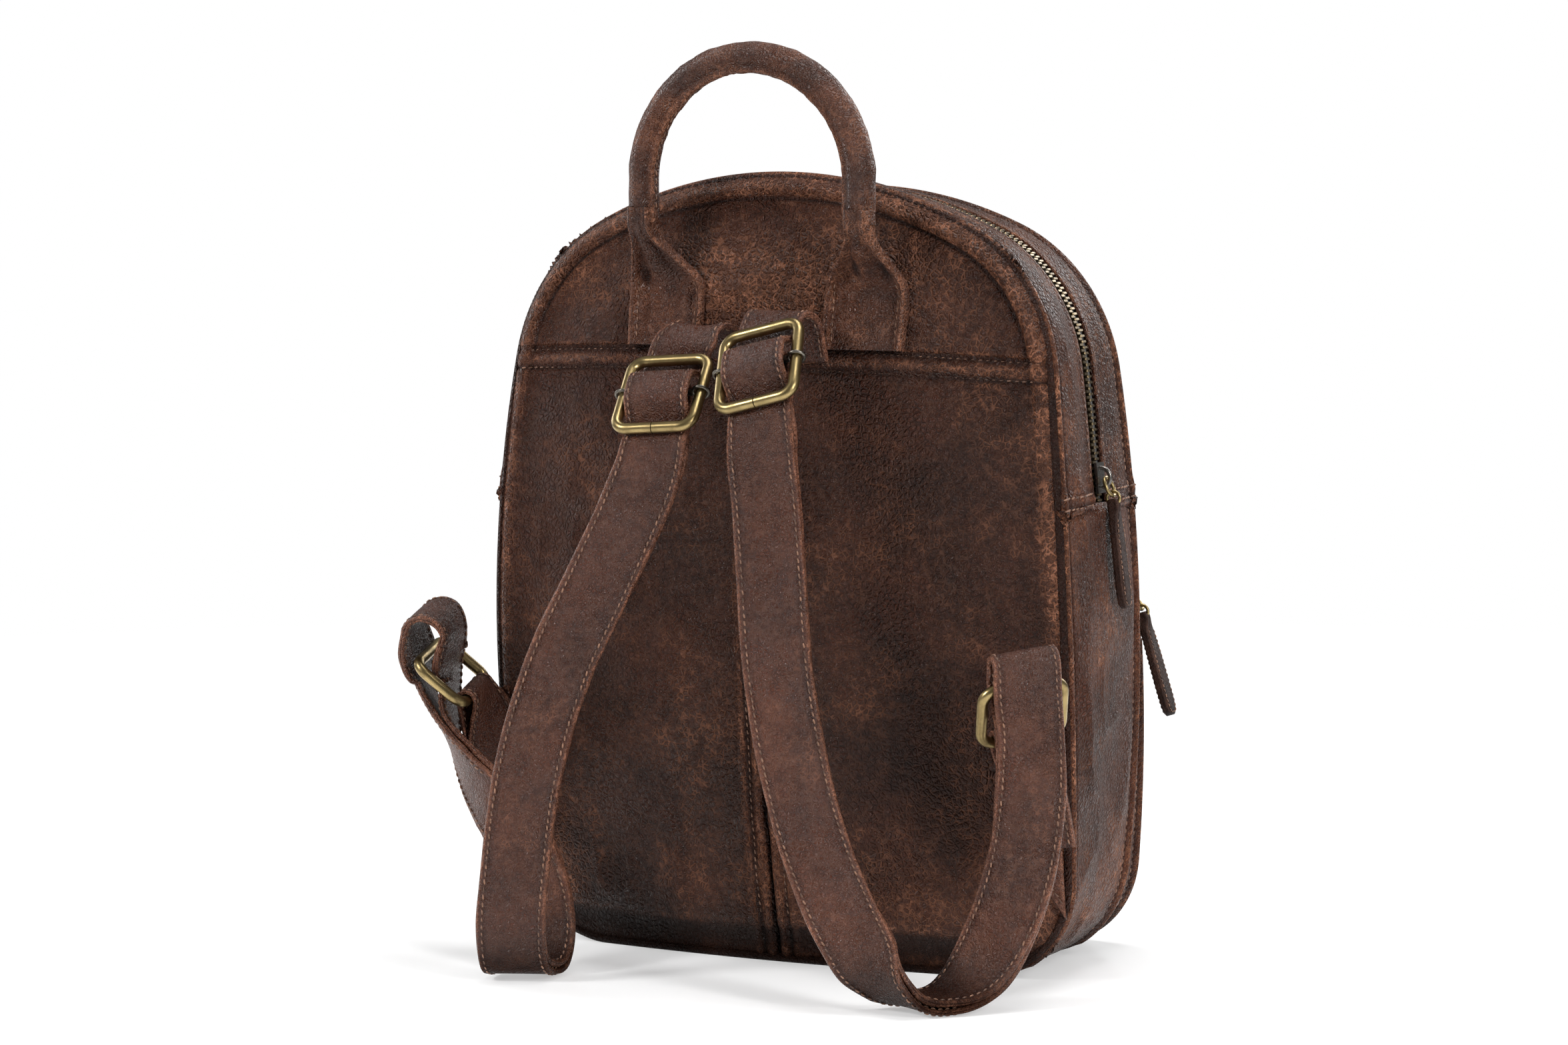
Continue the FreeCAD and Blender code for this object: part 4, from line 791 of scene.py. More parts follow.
def make_bag():
    """The panels, gussets and base of the main bag and the pocket."""
    back_panel("back_yoke_leather", YOKE_LEVEL, None, 190, 66, None, ["back_yoke_panel"])
    for side in ("right", "left"):
        back_panel("back_lower_%s_leather" % side, None, YOKE_LEVEL, 120, 190, side,
                   ["back_lower_panel_" + side])
    front_face("front_lower_leather", "front", None, FLAP_LEVEL, 90, "root",
               "front_panel_lower", crumpled=0.25)
    front_face("front_upper_leather", "front", FLAP_LEVEL + 0.4, None, 70, "front_flap",
               "front_panel_upper")
    front_face("pocket_face_lower_leather", "pocket", None, POCKET_LEVEL, 80, "root",
               "pocket_face_lower")
    front_face("pocket_face_upper_leather", "pocket", POCKET_LEVEL + 0.4, None, 40,
               "pocket_flap", "pocket_face_upper")

    z = BAG[0][:, 1]
    upper, lower = by_height(z, FLAP_LEVEL - 7, FLAP_LEVEL + 8)
    side_piece("rear_gusset_leather", BAG, upper, BACK_RIM, -7, 34, (True, False), 0.8, "root",
               ["rear_gusset"], floor=FLAP_LEVEL)
    side_piece("base_gusset_leather", BAG, lower, BACK_RIM, FRONT_RIM, 80, (True, True), 1.1,
               "root", ["base_gusset"], ceiling=FLAP_LEVEL + 2.8)
    side_piece("front_gusset_leather", BAG, upper, 7, FRONT_RIM, 34, (False, True), 0.8,
               "front_flap", ["front_gusset"], floor=FLAP_LEVEL + 0.2)
    groove_cord("back_seam_cord", BAG, BACK_RIM, "root", np.arange(len(z)), 1)
    groove_cord("front_seam_cord_lower", BAG, FRONT_RIM, "root", lower, -1)
    groove_cord("front_seam_cord_upper", BAG, FRONT_RIM, "front_flap", upper, -1)

    z = POCKET[0][:, 1]
    upper, lower = by_height(z, POCKET_LEVEL - 4, POCKET_LEVEL + 5)
    groove_cord("pocket_seam_cord_lower", POCKET, POCKET_RIM, "root", lower, -1)
    groove_cord("pocket_seam_cord_upper", POCKET, POCKET_RIM, "pocket_flap", upper, -1)
    spot = between(POCKET, np.full(len(z), 50.0))
    behind = np.maximum(front_y(spot[:, 0], spot[:, 2]) + 0.5, 32)
    side_piece("pocket_base_leather", POCKET, lower, behind, POCKET_RIM, 44, (False, True), 0.6,
               "root", ["pocket_base_gusset"], ceiling=POCKET_LEVEL + 1.2)
    side_piece("pocket_rear_strip_leather", POCKET, upper, behind, 58, 14, (False, False), 0.3,
               "root", ["pocket_rear_strip"], floor=POCKET_LEVEL)
    side_piece("pocket_front_strip_leather", POCKET, upper, 68, POCKET_RIM, 12, (False, False),
               0.3, "pocket_flap", ["pocket_front_strip"], floor=POCKET_LEVEL + 0.2)


# ---- straps and other bands

def spline(points, steps):
    """Smooth points through given points, with a share of the way from each to the next."""
    points = np.asarray(points, float)
    padded = np.concatenate([[2 * points[0] - points[1]], points, [2 * points[-1] - points[-2]]])
    result = []
    for index in range(len(points) - 1):
        p0, p1, p2, p3 = padded[index:index + 4]
        gap = [max(np.linalg.norm(b[:3] - a[:3]) ** 0.5, 1e-3)
               for a, b in ((p0, p1), (p1, p2), (p2, p3))]
        m1 = (p1 - p0) / gap[0] - (p2 - p0) / (gap[0] + gap[1]) + (p2 - p1) / gap[1]
        m2 = (p2 - p1) / gap[1] - (p3 - p1) / (gap[1] + gap[2]) + (p3 - p2) / gap[2]
        m1, m2 = m1 * gap[1], m2 * gap[1]
        count = max(2, int(np.ceil(np.linalg.norm(p2[:3] - p1[:3]) / steps)))
        t = np.arange(count)[:, None] / count
        result.append((2 * t ** 3 - 3 * t ** 2 + 1) * p1 + (t ** 3 - 2 * t ** 2 + t) * m1
                      + (3 * t ** 2 - 2 * t ** 3) * p2 + (t ** 3 - t ** 2) * m2)
    result.append(points[-1:])
    return np.concatenate(result)


def band_section(half, thin, groove):
    """Across, out and a per-point value once round a band, one row per station: the edges are
    rubbed lighter, the stitch grooves and edge notches get painted shade.
    """
    half, thin = half[:, None], thin[:, None]
    across = (half - 0.9 * thin) * np.linspace(1, -1, 15)
    depth = half - np.abs(across)
    dip = hill(depth - groove, 0.8)
    # Across the face the edges are rubbed lighter, and the stitch groove gets painted shade.
    face = (across, thin * (0.97 + 0.06 * smooth(depth, groove, half)) - 0.5 * dip,
            0.8 * (hill(depth, 1.2) - dip))
    turn = np.radians((6, 32, 62))
    bend = (half - 0.9 * thin * (1 - np.cos(turn)), 0.97 * thin * np.sin(turn), 0.95)
    # The notch along the middle of each edge gets painted shade, a dark line.
    dent = (half - 0.35, 0.0, -1.0)
    dent, bend, face = (np.stack(np.broadcast_arrays(*part), -1) for part in (dent, bend, face))
    right = np.concatenate([dent, bend], 1)
    turned = np.concatenate([right, face, right[:, :0:-1] * (-1, 1, 1)], 1)
    return np.moveaxis(np.concatenate([turned, turned * (-1, -1, 1)], 1), -1, 0)


def band(name, stations, groove, nodes, crease, calm=None):
    """A flat stitched band through stations of (point, unit vector across, width, thickness).

    It isn't creased close to the point called calm.
    """
    line = spline([[*point, *across, width, thick] for point, across, width, thick in stations],
                  2.2)
    point, across = line[:, :3], unit(line[:, 3:6])
    half, thin = line[:, 6] / 2, line[:, 7] / 2
    along = unit(np.gradient(point, axis=0))
    across = unit(across - along * np.sum(across * along, -1, keepdims=True))
    rise = np.cross(along, across)
    side, out, worn_and_shaded = band_section(half, thin, groove)
    far = np.broadcast_to(travelled(point)[:, None], side.shape)
    spots = np.stack([side * 0.35, far, out * 0.4], -1)
    fold = 1 - np.abs(noise(spots * (0.5, 1, 1) + 11 * len(name), 9))
    bump = crease * (fold ** 3 - 0.35) + 0.5 * crease * noise(spots + 60, 23)
    bump = bump * smooth(np.abs(out), 0.4, thin[:, None])
    if calm is not None:
        bump = bump * smooth(np.linalg.norm(point - calm, axis=1), 16, 34)[:, None]
    ripple = 0.35 * noise(np.stack([np.sign(side) * 40, far, far * 0], -1), 16)
    grid = (point[:, None] + across[:, None] * (side * (1 + ripple / half[:, None]))[..., None]
            + rise[:, None] * (out + np.sign(out) * bump)[..., None])
    rings_piece(name, grid, "root", "strap_leather",
                worn_and_shaded * (0.75 + 0.4 * noise(spots + 30, 14)), nodes)
    rows = [(point + across * (sign * (half - groove))[:, None]
             + rise * (face * (thin * 0.97 - 0.12))[:, None], rise * face)
            for sign in (1, -1) for face in (1, -1)]
    stitch_row(name + "_thread", rows, STRAP_PITCH, "root", SEAM_THREAD)


def capsule(length, radius):
    """Points and faces of one stitch: a short rounded thread lying along X."""
    stops = np.array([(-0.5, 0.35, -0.5), (-0.34, 0.9, 0.05), (0, 1.0, 0.25), (0.34, 0.9, 0.05),
                      (0.5, 0.35, -0.5)])
    angle = turns(6)
    rings = [np.stack([np.full(6, share * length), np.cos(angle) * radius * swell,
                       np.sin(angle) * radius * swell + lift * radius], -1)
             for share, swell, lift in stops]
    return np.concatenate(rings), tube_faces(5, 6)


def stitch_row(name, lines, pitch, body, thick=0.36):
    """Stitches along lines of (points, outward directions), as one piece of thread."""
    stitch = capsule(pitch * 0.72, thick)
    parts = []
    for line, outward in lines:
        way = travelled(line)
        spots = np.arange(pitch, way[-1] - pitch * 0.5, pitch)
        place = sampled(spots, way, line)
        out = unit(sampled(spots, way, outward))
        along = unit(sampled(spots + 0.5, way, line) - place)
        out = unit(out - along * np.sum(out * along, -1, keepdims=True))
        side = np.cross(out, along)
        parts += copies(stitch, place, along + side * 0.14, side, out)
    points, faces = gather(parts)
    return piece(name, points, faces, body, "strap_leather", paint="thread")


# ---- shoulder straps

# The straps follow the CAD's routes: (x, y, z, direction of the width in degrees, and half the
# layers' distance where it isn't LAYERS).
LAYERS = 1.9
STRAPS = {
    "right": {
        "buckle": ((21, -97, 260), (-0.247, 0.614, 0.75), (0.963, 0.088, 0.246)),
        "chape": ((19, -59, 261), (19, -61.2, 266), (18.5, -62.2, 272), (18, -65.5, 278),
                  (16.5, -73, 280.5)),
        "route": ((26, -103.5, 222, 18), (26, -99.6, 202, 20), (29.5, -101.5, 169, 22),
                  (34, -105, 137, 22), (43, -111, 104, 22), (56, -119, 73, 22), (72, -127, 46, 22),
                  (88, -132, 25, 12), (98, -130, 12, -15), (107, -123, 5, -30),
                  (116, -112, 5, -25), (125, -101, 15, 0), (132, -92, 34, 15), (137, -85, 58, 22),
                  (138.4, -80, 85, 30), (136.5, -77, 112.3, 45.1), (135.1, -79, 129, 41.7, 5)),
        "fold": ((134.8, -79.5, 140), 4.5),
        "ring": ((134.8, -79.5, 131), (128, -68, 108), (0.67, 0.74, 0)),
        "loop": ((130, -46.5, 60, 11, 1.2), (128.5, -56, 86, 30, 1.2)),
    },
    "left": {
        "buckle": ((-27, -94, 247), (-0.145, 0.691, 0.701), (0.988, 0.127, 0.053)),
        "chape": ((-20, -59, 261), (-20, -61.2, 266), (-21, -63.0, 270.5), (-23.5, -67.5, 273),
                  (-27, -73, 268)),
        "route": ((-28, -105.5, 214, 16), (-36.5, -108, 193, 20), (-49, -113, 165, 25),
                  (-61, -118, 138, 25), (-69, -124, 110, 25), (-73, -131, 81, 25),
                  (-74, -137, 50, 25), (-74, -141, 24, 25), (-75, -137, 9, 25), (-77, -126, 5, 22),
                  (-78, -114, 7, 20), (-81, -105, 19, 16), (-92, -95, 39, 6), (-107, -88, 57, -12),
                  (-129, -82, 77, -32), (-146, -77, 99, -62), (-154.7, -70.5, 116.7, -71, 6.3),
                  (-153.7, -75.4, 129, -86.3, 8.2)),
        "fold": ((-153, -76.3, 139.8), 9.3),
        "ring": ((-155.6, -76, 129.5), (-137.2, -67.9, 112.3), (0.19, -0.95, -0.21)),
        "loop": ((-131.8, -52.2, 63.1, 5.7, 1.2), (-132.8, -59.4, 89.7, 49.1, 1.2)),
    },
}
# Inside a buckle: distance below the sliding bar, distance outward.
OUTER_IN_BUCKLE = ((-22, -4.6), (-15, -4.8), (-6, 5.5), (-2, 6.3), (2, 6.3), (6, 5.5),
                   (15, -4.8), (22, -4.6))
INNER_IN_BUCKLE = ((22, -8.4), (15, -8), (6, -3.4), (0, -2.8), (-2, -2), (-2.8, 0), (-2, 2),
                   (0, 2.8), (4, 2.4))
STRAP_SIZE, STRAP_END_SIZE = (29, 3), (25, 2)


def axes(up, across):
    """Unit vectors across, up and outward of a buckle or ring."""
    second = unit(np.array(up, float))
    first = np.array(across, float)
    first = unit(first - second * np.dot(second, first))
    return first, second, np.cross(first, second)


def compass(degrees):
    """The level direction at an angle from +X."""
    angle = math.radians(degrees)
    return np.array([math.cos(angle), math.sin(angle), 0])


def doubled(start, route, fold, across):
    """Both layers of a band along a route that folds back round a bar."""
    centre, radius = np.array(fold[0], float), fold[1]
    middle = [np.array(start, float)] + [np.array(stop[:3], float) for stop in route] + [centre]
    there, back = [], []
    for index, stop in enumerate(route, start=1):
        along = unit(middle[index + 1] - middle[index - 1])
        width = compass(stop[3])
        side = unit(width - along * np.dot(along, width))
        apart = np.cross(along, side) * (stop[4] if len(stop) > 4 else LAYERS)
        there.append((middle[index] + apart, side))
        back.insert(0, (middle[index] - apart, side))
    along = centre - middle[-2]
    along = unit(along - across * np.dot(across, along))
    outward = np.cross(along, across)
    turn = [(centre + (outward * math.cos(angle) + along * math.sin(angle)) * radius, across)
            for angle in np.linspace(0, np.pi, 5)]
    return there, turn, back


def make_strap(side):
    """One shoulder strap with its ring loop, anchor wing and stitches."""
    plan = STRAPS[side]
    origin = np.array(plan["buckle"][0], float)
    across, up, out = axes(*plan["buckle"][1:])
    top, bottom, level = [np.array(item, float) for item in plan["ring"]]
    ring_across = axes(top - bottom, level)[0]

    def in_buckle(stops):
        return [(origin - up * below + out * away, across) for below, away in stops]

    outer, inner = in_buckle(OUTER_IN_BUCKLE), in_buckle(INNER_IN_BUCKLE)
    chape = [(np.array(point, float), np.array([1.0, 0, 0])) for point in plan["chape"]]
    start = (outer[-1][0] + inner[0][0]) / 2
    there, turn, back = doubled(start, plan["route"], plan["fold"], ring_across)
    stations = [stop + STRAP_SIZE for stop in chape + outer + there + turn + back + inner[:1]]
    stations += [stop + STRAP_END_SIZE for stop in inner[1:]]
    band("strap_" + side, stations, 2.5, ["shoulder_strap_" + side], 0.5, origin)

    loop = plan["loop"]
    tail = np.array(loop[0][:3]) * 2.0 - np.array(loop[1][:3])
    if np.dot(compass(loop[-1][3]), ring_across) < 0:
        ring_across = -ring_across
    there, turn, back = doubled(tail, loop, (bottom, 3.9), ring_across)
    stations = [stop + STRAP_END_SIZE for stop in there + turn + back]
    band("ring_band_" + side, stations, 2.2, ["ring_loop_" + side], 0.25)
    make_wing(side)


def make_wing(side):
    """The four-cornered anchor that is sewn into the side seam of the back."""
    corners = np.array([(136.5, 112), (134, 28), (118, 58), (120, 96)])
    if side == "left":
        corners = corners * (-1, 1)
    outer_top, outer_low, inner_low, inner_top = corners
    rows, columns = 46, 22
    v = np.linspace(0, 1, rows)[:, None]
    outer_line = outer_low + (outer_top - outer_low) * v
    inner_line = inner_low + (inner_top - inner_low) * v
    low = outer_low + (inner_low - outer_low) * np.linspace(0, 1, columns)[:, None]
    high = outer_top + (inner_top - outer_top) * np.linspace(0, 1, columns)[:, None]
    flat = spanned(low, high, outer_line, inner_line)
    x, z = flat[..., 0], flat[..., 1]
    u = np.linspace(0, 1, columns)[None, :]
    rim_depth = np.minimum(np.minimum(u * 16, (1 - u) * 16), np.minimum(v * 55, (1 - v) * 55))
    puff = 0.5 * smooth(rim_depth, 0, 1.6) - 0.45 * hill(rim_depth - 2.4, 0.8)
    spots = onto(back_y, x, z)
    spots[..., 1] -= 2.5 + puff + 0.5 * noise(spots, 11)
    wear_and_shade = hill(rim_depth, 1.3)
    shell("anchor_" + side, spots, 2.2, "root", "strap_leather", wear_and_shade,
          ["anchor_wing_" + side], OUT_OF_BACK)
    lines = [all_facing(OUT_OF_BACK, line - (0, 0.1, 0)) for line in (spots[:, -4], spots[3])]
    stitch_row("anchor_%s_thread" % side, lines, STRAP_PITCH, "root")


# ---- handle

def handle_path():
    """Middle line of the handle, from inside the right neck over the arch to the left one."""
    span, bend, start, top_level = 52, 38, 338, 388
    reach, drop = span - bend, top_level - start
    top = (reach ** 2 + drop ** 2 - bend ** 2) / (2 * (drop - bend))
    centre_z = top_level - top
    turn = math.degrees(math.atan2(start - centre_z, reach))
    right = [(span, z) for z in np.linspace(318, start, 12, endpoint=False)]
    right += [(reach + bend * math.cos(math.radians(a)), start + bend * math.sin(math.radians(a)))
              for a in np.linspace(0, turn, 30, endpoint=False)]
    right += [(top * math.cos(math.radians(a)), centre_z + top * math.sin(math.radians(a)))
              for a in np.linspace(turn, 90, 14)]
    right = np.array(right)
    whole = np.concatenate([right, right[::-1][1:] * (-1, 1)])
    level = np.full(len(whole), float(HANDLE_Y))
    return resample(np.stack([whole[:, 0], level, whole[:, 1]], -1), 150)


def make_handle():
    """The rolled handle with its stitched ridge, and the two patches it grows out of."""
    path = handle_path()
    along = unit(np.gradient(path, axis=0))
    inward = np.cross(along, (0, 1, 0))
    inward = inward * -np.sign(np.sum(inward * (path - (0, HANDLE_Y, 330)), -1))[:, None]
    angle, back = turns(44), np.array([0, -1.0, 0])
    ridge_at = math.radians(28)
    gap = np.abs((angle - ridge_at + np.pi) % (2 * np.pi) - np.pi)
    ridge = 1.5 * hill(gap, 0.16) - 0.5 * hill(gap - 0.42, 0.12)
    wave = np.stack(np.broadcast_arrays(np.cos(angle) * 6.5, np.sin(angle) * 6.5,
                                        np.arange(len(path))[:, None] * 2.0), -1)
    radius = (6.35 + ridge + 0.22 * noise(wave * (1, 1, 1.4), 7)
              + 0.25 * (1 - np.abs(noise(wave * (0.5, 0.5, 1.2) + 80, 8))) ** 4)
    grid = path[:, None] + (inward[:, None] * np.cos(angle)[:, None]
                            + back * np.sin(angle)[:, None]) * radius[..., None]
    cover = rings_piece("handle_roll", grid, None, "handle_leather",
                        0.9 * hill(gap, 0.2) + 0.35 * noise(wave + 9, 19), ["handle_cover"])
    thread_at = ridge_at - 0.33
    out = inward[4:-4] * math.cos(thread_at) + back * math.sin(thread_at)
    thread = stitch_row("handle_thread", [(path[4:-4] + out * 6.5, out)], 3.4, None)
    for item in (cover, thread):
        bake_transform(item)
    for side, sign in (("right", 1), ("left", -1)):
        make_handle_end(side, sign)


def make_handle_end(side, sign):
    """A tongue on the yoke whose sides fold in and rise into the neck of the handle."""
    rows, columns = 90, 64
    t = np.linspace(0, 1, rows)[:, None]
    z = YOKE_LEVEL + SEAM_ARCH * 0.85 + 59 * t
    rise = smooth(z, 288, 318)
    half = 18.5 - 11.9 * smooth(z, 289, 315) + 0.6 * np.sin(t * 5)
    depth_low = back_y(48.0, z) - 1.9
    cosine, sine = np.cos(turns(columns)), np.sin(turns(columns))
    outside = sine > 0.05
    across = np.sign(cosine) * np.abs(cosine) ** (0.75 + 0.25 * rise) * half
    lift = np.sign(sine) * np.abs(sine) ** (0.42 + 0.58 * smooth(z, 292, 312))
    lift = lift * np.where(lift > 0, 1.4 + 5.1 * smooth(z, 286, 312),
                           1.3 + 5.1 * smooth(z, 296, 314))
    edge = half - np.abs(across)
    flap = (2.4 * hill(edge - 1.9, 1.7, 3) - 0.8 * smooth(edge, 3.4, 5) * (1 - rise)) * outside
    valley = 2.6 * smooth(z, 284, 300) * (1 - smooth(z, 306, 319))
    dip = valley * hill(np.abs(across) / half - 0.5, 0.25) * (sine > 0)
    x = sign * (48 + 4 * rise + across)
    spots = np.stack([x, lift, z + 0 * x], -1)
    folds = 1 - np.abs(noise(spots * (1, 1, 0.5) + 130, 6.5))
    pebbles = 0.5 * np.abs(noise(spots + 210, 3.1)) * (sine > 0.1) * smooth(edge, 3.4, 5)
    crimp = (3.4 * (folds ** 3 - 0.3) * smooth(edge, 3.2, 5.2) * smooth(z, 266, 285)
             * (1 - smooth(z, 308, 319)) * (sine > 0.1))
    follow = (back_y(x, z) - back_y(48.0, z)) * (1 - rise)
    ply = hill(edge - 2.3, 0.5) * outside
    grid = spots.copy()
    grid[..., 1] = (depth_low + (HANDLE_Y - depth_low) * rise + follow - lift - flap + dip
                    - crimp * 0.6 - pebbles + 0.45 * ply)
    # The valleys between the crimps near the neck, and the groove of the ply line, are painted
    # darker, as painted shade.
    gullet = (smooth(folds, 0.75, 0.3) * smooth(z, 284, 296) * (1 - smooth(z, 306, 316))
              * smooth(edge, 3.5, 5.5))
    rings_piece("handle_patch_" + side, grid, "root", "handle_leather",
                hill(edge - 1.9, 1.5) + 0.3 * noise(spots, 15) - 1.1 * ply - 1.2 * gullet,
                ["handle_end_" + side])
    lines = [all_facing(OUT_OF_BACK, grid[2:rows // 2, column] + (0, -0.15, 0))
             for column in (8, columns // 2 - 8)]
    stitch_row("handle_patch_%s_thread" % side, lines, STRAP_PITCH, "root")


# ---- zips

def tooth(long, wide, tall):
    """Points and faces of one cast zip tooth with a rounded head."""
    outline = [(-0.5, -0.42), (0.28, -0.5), (0.5, -0.22), (0.5, 0.22), (0.28, 0.5), (-0.5, 0.42)]
    levels = ((-0.5, 1.0), (0.28, 1.0), (0.5, 0.72))
    points = [(x * wide * (grow if x > 0 else 1), y * long * grow, z * tall)
              for z, grow in levels for x, y in outline]
    return np.array(points), tube_faces(3, 6)


def zip_rows(name, lines, level, middle, reach, flap, tape_edge):
    """Both tapes and both rows of teeth of a closed zip that runs over the bag."""
    keep = np.flatnonzero(lines[0][:, 1] >= level + 0.3)
    arc = (lines[0][keep], lines[1][keep], lines[2], lines[3])
    count = len(keep)
    line = between(arc, np.full(count, float(middle)))
    along, out = way_and_outward(line)
    way = travelled(line[:, [0, 2]])
    pitch = 2.5
    across = np.array([1.0, 1.9, 2.6, 3.1, 3.5, 4.0, 5.0, tape_edge])
    depth = np.array([2.3, 2.3, 1.9, 1.6, 1.9, 2.3, 2.4, 2.4])
    for side, sign, body in (("rear", -1, "root"), ("front", 1, flap)):
        spots = np.arange(1.2 + (pitch / 2 if sign > 0 else 0), way[-1] - 1, pitch)
        place, ahead, outward = (sampled(spots, way, item) for item in (line, along, out))
        inward = np.broadcast_to([0, -sign, 0.0], place.shape)
        points, faces = gather(copies(tooth(1.35, 3.6, 1.7),
                                      place + (0, sign * 1.35, 0) - outward * 1.15,
                                      inward, ahead * sign, outward))
        piece("%s_teeth_%s_cast" % (name, side), points, faces, body, "zip_teeth",
              nodes=["%s_teeth_%s" % (name, side)], flat=True)

        y = middle + sign * across + np.zeros((count, 1))
        shell("%s_tape_%s_woven" % (name, side), between(arc, y) - out[:, None] * depth[:, None],
              0.7, body, "zip_tape", np.zeros(y.shape), ["%s_tape_%s" % (name, side)],
              out[:, None])
        if name == "main_zip":
            row = between(arc, np.full(count, middle + sign * (reach + 2.6))) + out * 0.05
            stitch_row("%s_seam_%s_thread" % (name, side), [(row, out)], STRAP_PITCH, body)


# a tab's tilt and turn in degrees, and the point where it hangs in its puller
TABS = {"main": (7, 6.116, (137.76, 0.78, 199.89)),
        "pocket": (17, 4.764, (122.74, 63.82, 145.56))}


def make_tab(prefix):
    """The folded, stitched leather tab of a zip pull: two layers with a dark raw edge."""
    tilt, turn, foot = TABS[prefix]
    tilt, turn = math.radians(tilt), math.radians(turn)
    bore = np.array([math.cos(turn), math.sin(turn), 0])
    side = np.array([-math.sin(turn), math.cos(turn), 0])
    down = bore * math.sin(tilt) + np.array([0, 0, -math.cos(tilt)])
    out = np.cross(side, down)
    out = out if np.dot(out, bore) > 0 else -out
    stops = [(-2.5, 1.9, 1.6), (-2.1, 2.1, 2.3), (0, 2.3, 2.85), (2.4, 2.6, 2.5), (4.2, 3.4, 2.25),
             (7, 4.4, 2.15), (12, 4.9, 2.1), (24, 5.3, 2.15), (36, 5.35, 2.1), (40, 4.9, 2.05),
             (42.6, 3.7, 1.95), (44, 1.9, 1.5)]
    line = spline([[*(foot + down * drop), half, thin] for drop, half, thin in stops], 0.9)
    cosine, sine = np.cos(turns(40)), np.sin(turns(40))
    half, thin, middle = line[:, 3:4], line[:, 4:], line[:, None, :3]
    across = np.sign(cosine) * np.abs(cosine) ** 0.55 * half
    lift = np.sign(sine) * np.abs(sine) ** 0.45 * thin
    edge = half - np.abs(across)
    lift = lift - np.sign(sine) * (0.32 * hill(edge - 1.4, 0.5)
                                   + 0.15 * smooth(edge, 0.9, 0) * (half > 3))
    across = across - np.sign(cosine) * 0.35 * hill(lift, 0.35)
    lift = lift + 0.12 * noise(middle + np.stack([across, lift, lift], -1) * 2, 6)
    grid = middle + side * across[..., None] + out * lift[..., None]
    body = prefix + "_tab"
    rings_piece(prefix + "_pull_leather", grid, body, "strap_leather",
                0.45 * hill(edge - 0.6, 0.5), [body], "tab_leather")
    loop = line[line[:, 3] > 3.6]
    rows = []
    for face in (1, -1):
        ring = np.concatenate([loop[:, :3] + side * (loop[:, 3:4] - 1.4),
                               loop[::-1, :3] - side * (loop[::-1, 3:4] - 1.4)])
        rows.append(all_facing(out * face, ring + out * face * 1.85))
    stitch_row(prefix + "_pull_thread", rows, 2.2, body, 0.28)


# ---- inside and hidden pieces

def make_inside():
    """The cloth lining, its flap, and the padding behind the back panel."""
    rear, front = BACK_RIM + 8, FRONT_RIM - 8
    upper, lower = by_height(BAG[0][:, 1], FLAP_LEVEL, FLAP_LEVEL + 1.5)
    for name, keep, start, end, body in (("lining_back_side", upper, rear, -8, "root"),
                                         ("lining_base", lower, rear, front, "root"),
                                         ("lining_flap_side", upper, 8, front, "front_flap")):
        side_piece(name, BAG, keep, start, end, 30, (False, False), 0, body, (), "lining", 0.6,
                   3.6)
    faces = (("lining_back", BACK_EDGE, None, None, back_y, 7.0, "root", -1),
             ("lining_front_lower", FRONT_EDGE, None, FLAP_LEVEL, front_y, -2.6, "root", 1),
             ("lining_front_flap", FRONT_EDGE, FLAP_LEVEL + 0.4, None, front_y, -2.6,
              "front_flap", 1))
    for name, edge, low, high, bulge, deep, body, sign in faces:
        inset = edge * (0.965, 1) * (1, 0.975) + (0, 4.4)
        grid = panel(inset, low, high, 60, 60, whole=True)
        x, z = grid[..., 0], grid[..., 1]
        spots = onto(bulge, x, z) + (0, deep, 0)
        spots[..., 1] -= sign * (0.5 + 0.5 * np.abs(noise(spots, 30)))
        shell(name, spots, 0.6, body, "lining", np.zeros(x.shape), (), OUT_OF_BACK * -sign)
    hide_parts("main_lining")
    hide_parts("flap_lining")

    inset = BACK_EDGE * (0.9, 0.915) + (0, 14)
    grid = panel(inset, None, None, 60, 60, whole=True)
    x, z = grid[..., 0], grid[..., 1]
    edge = edge_distance(x, z, inset)
    pad = np.stack([x, back_y(x, z) + 2.6 + 1.6 * (1 - smooth(edge, 0, 10)), z], -1)
    cushion = shell("back_padding", pad, 3.2, "root", "foam", np.zeros(x.shape),
                    ["back_foam_pad"], OUT_OF_BACK)


# ---- carried-over metal and board

def repaint():
    """Give every CAD node that stays its own aged material."""
    paints = {"brass": ["buckle_frame_right", "buckle_frame_left", "lower_ring_right",
                        "lower_ring_left", "main_puller", "pocket_puller", "main_jump_ring",
                        "pocket_jump_ring"],
              "dark_steel": ["sliding_bar_right", "sliding_bar_left"],
              "gunmetal": ["main_slider", "pocket_slider"],
              "board": ["base_board"], "cord_core": ["handle_core"]}
    for paint, names in paints.items():
        for name in names:
            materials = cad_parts[name].data.materials
            materials.clear()
            materials.append(MAT[paint])


# ---- studio

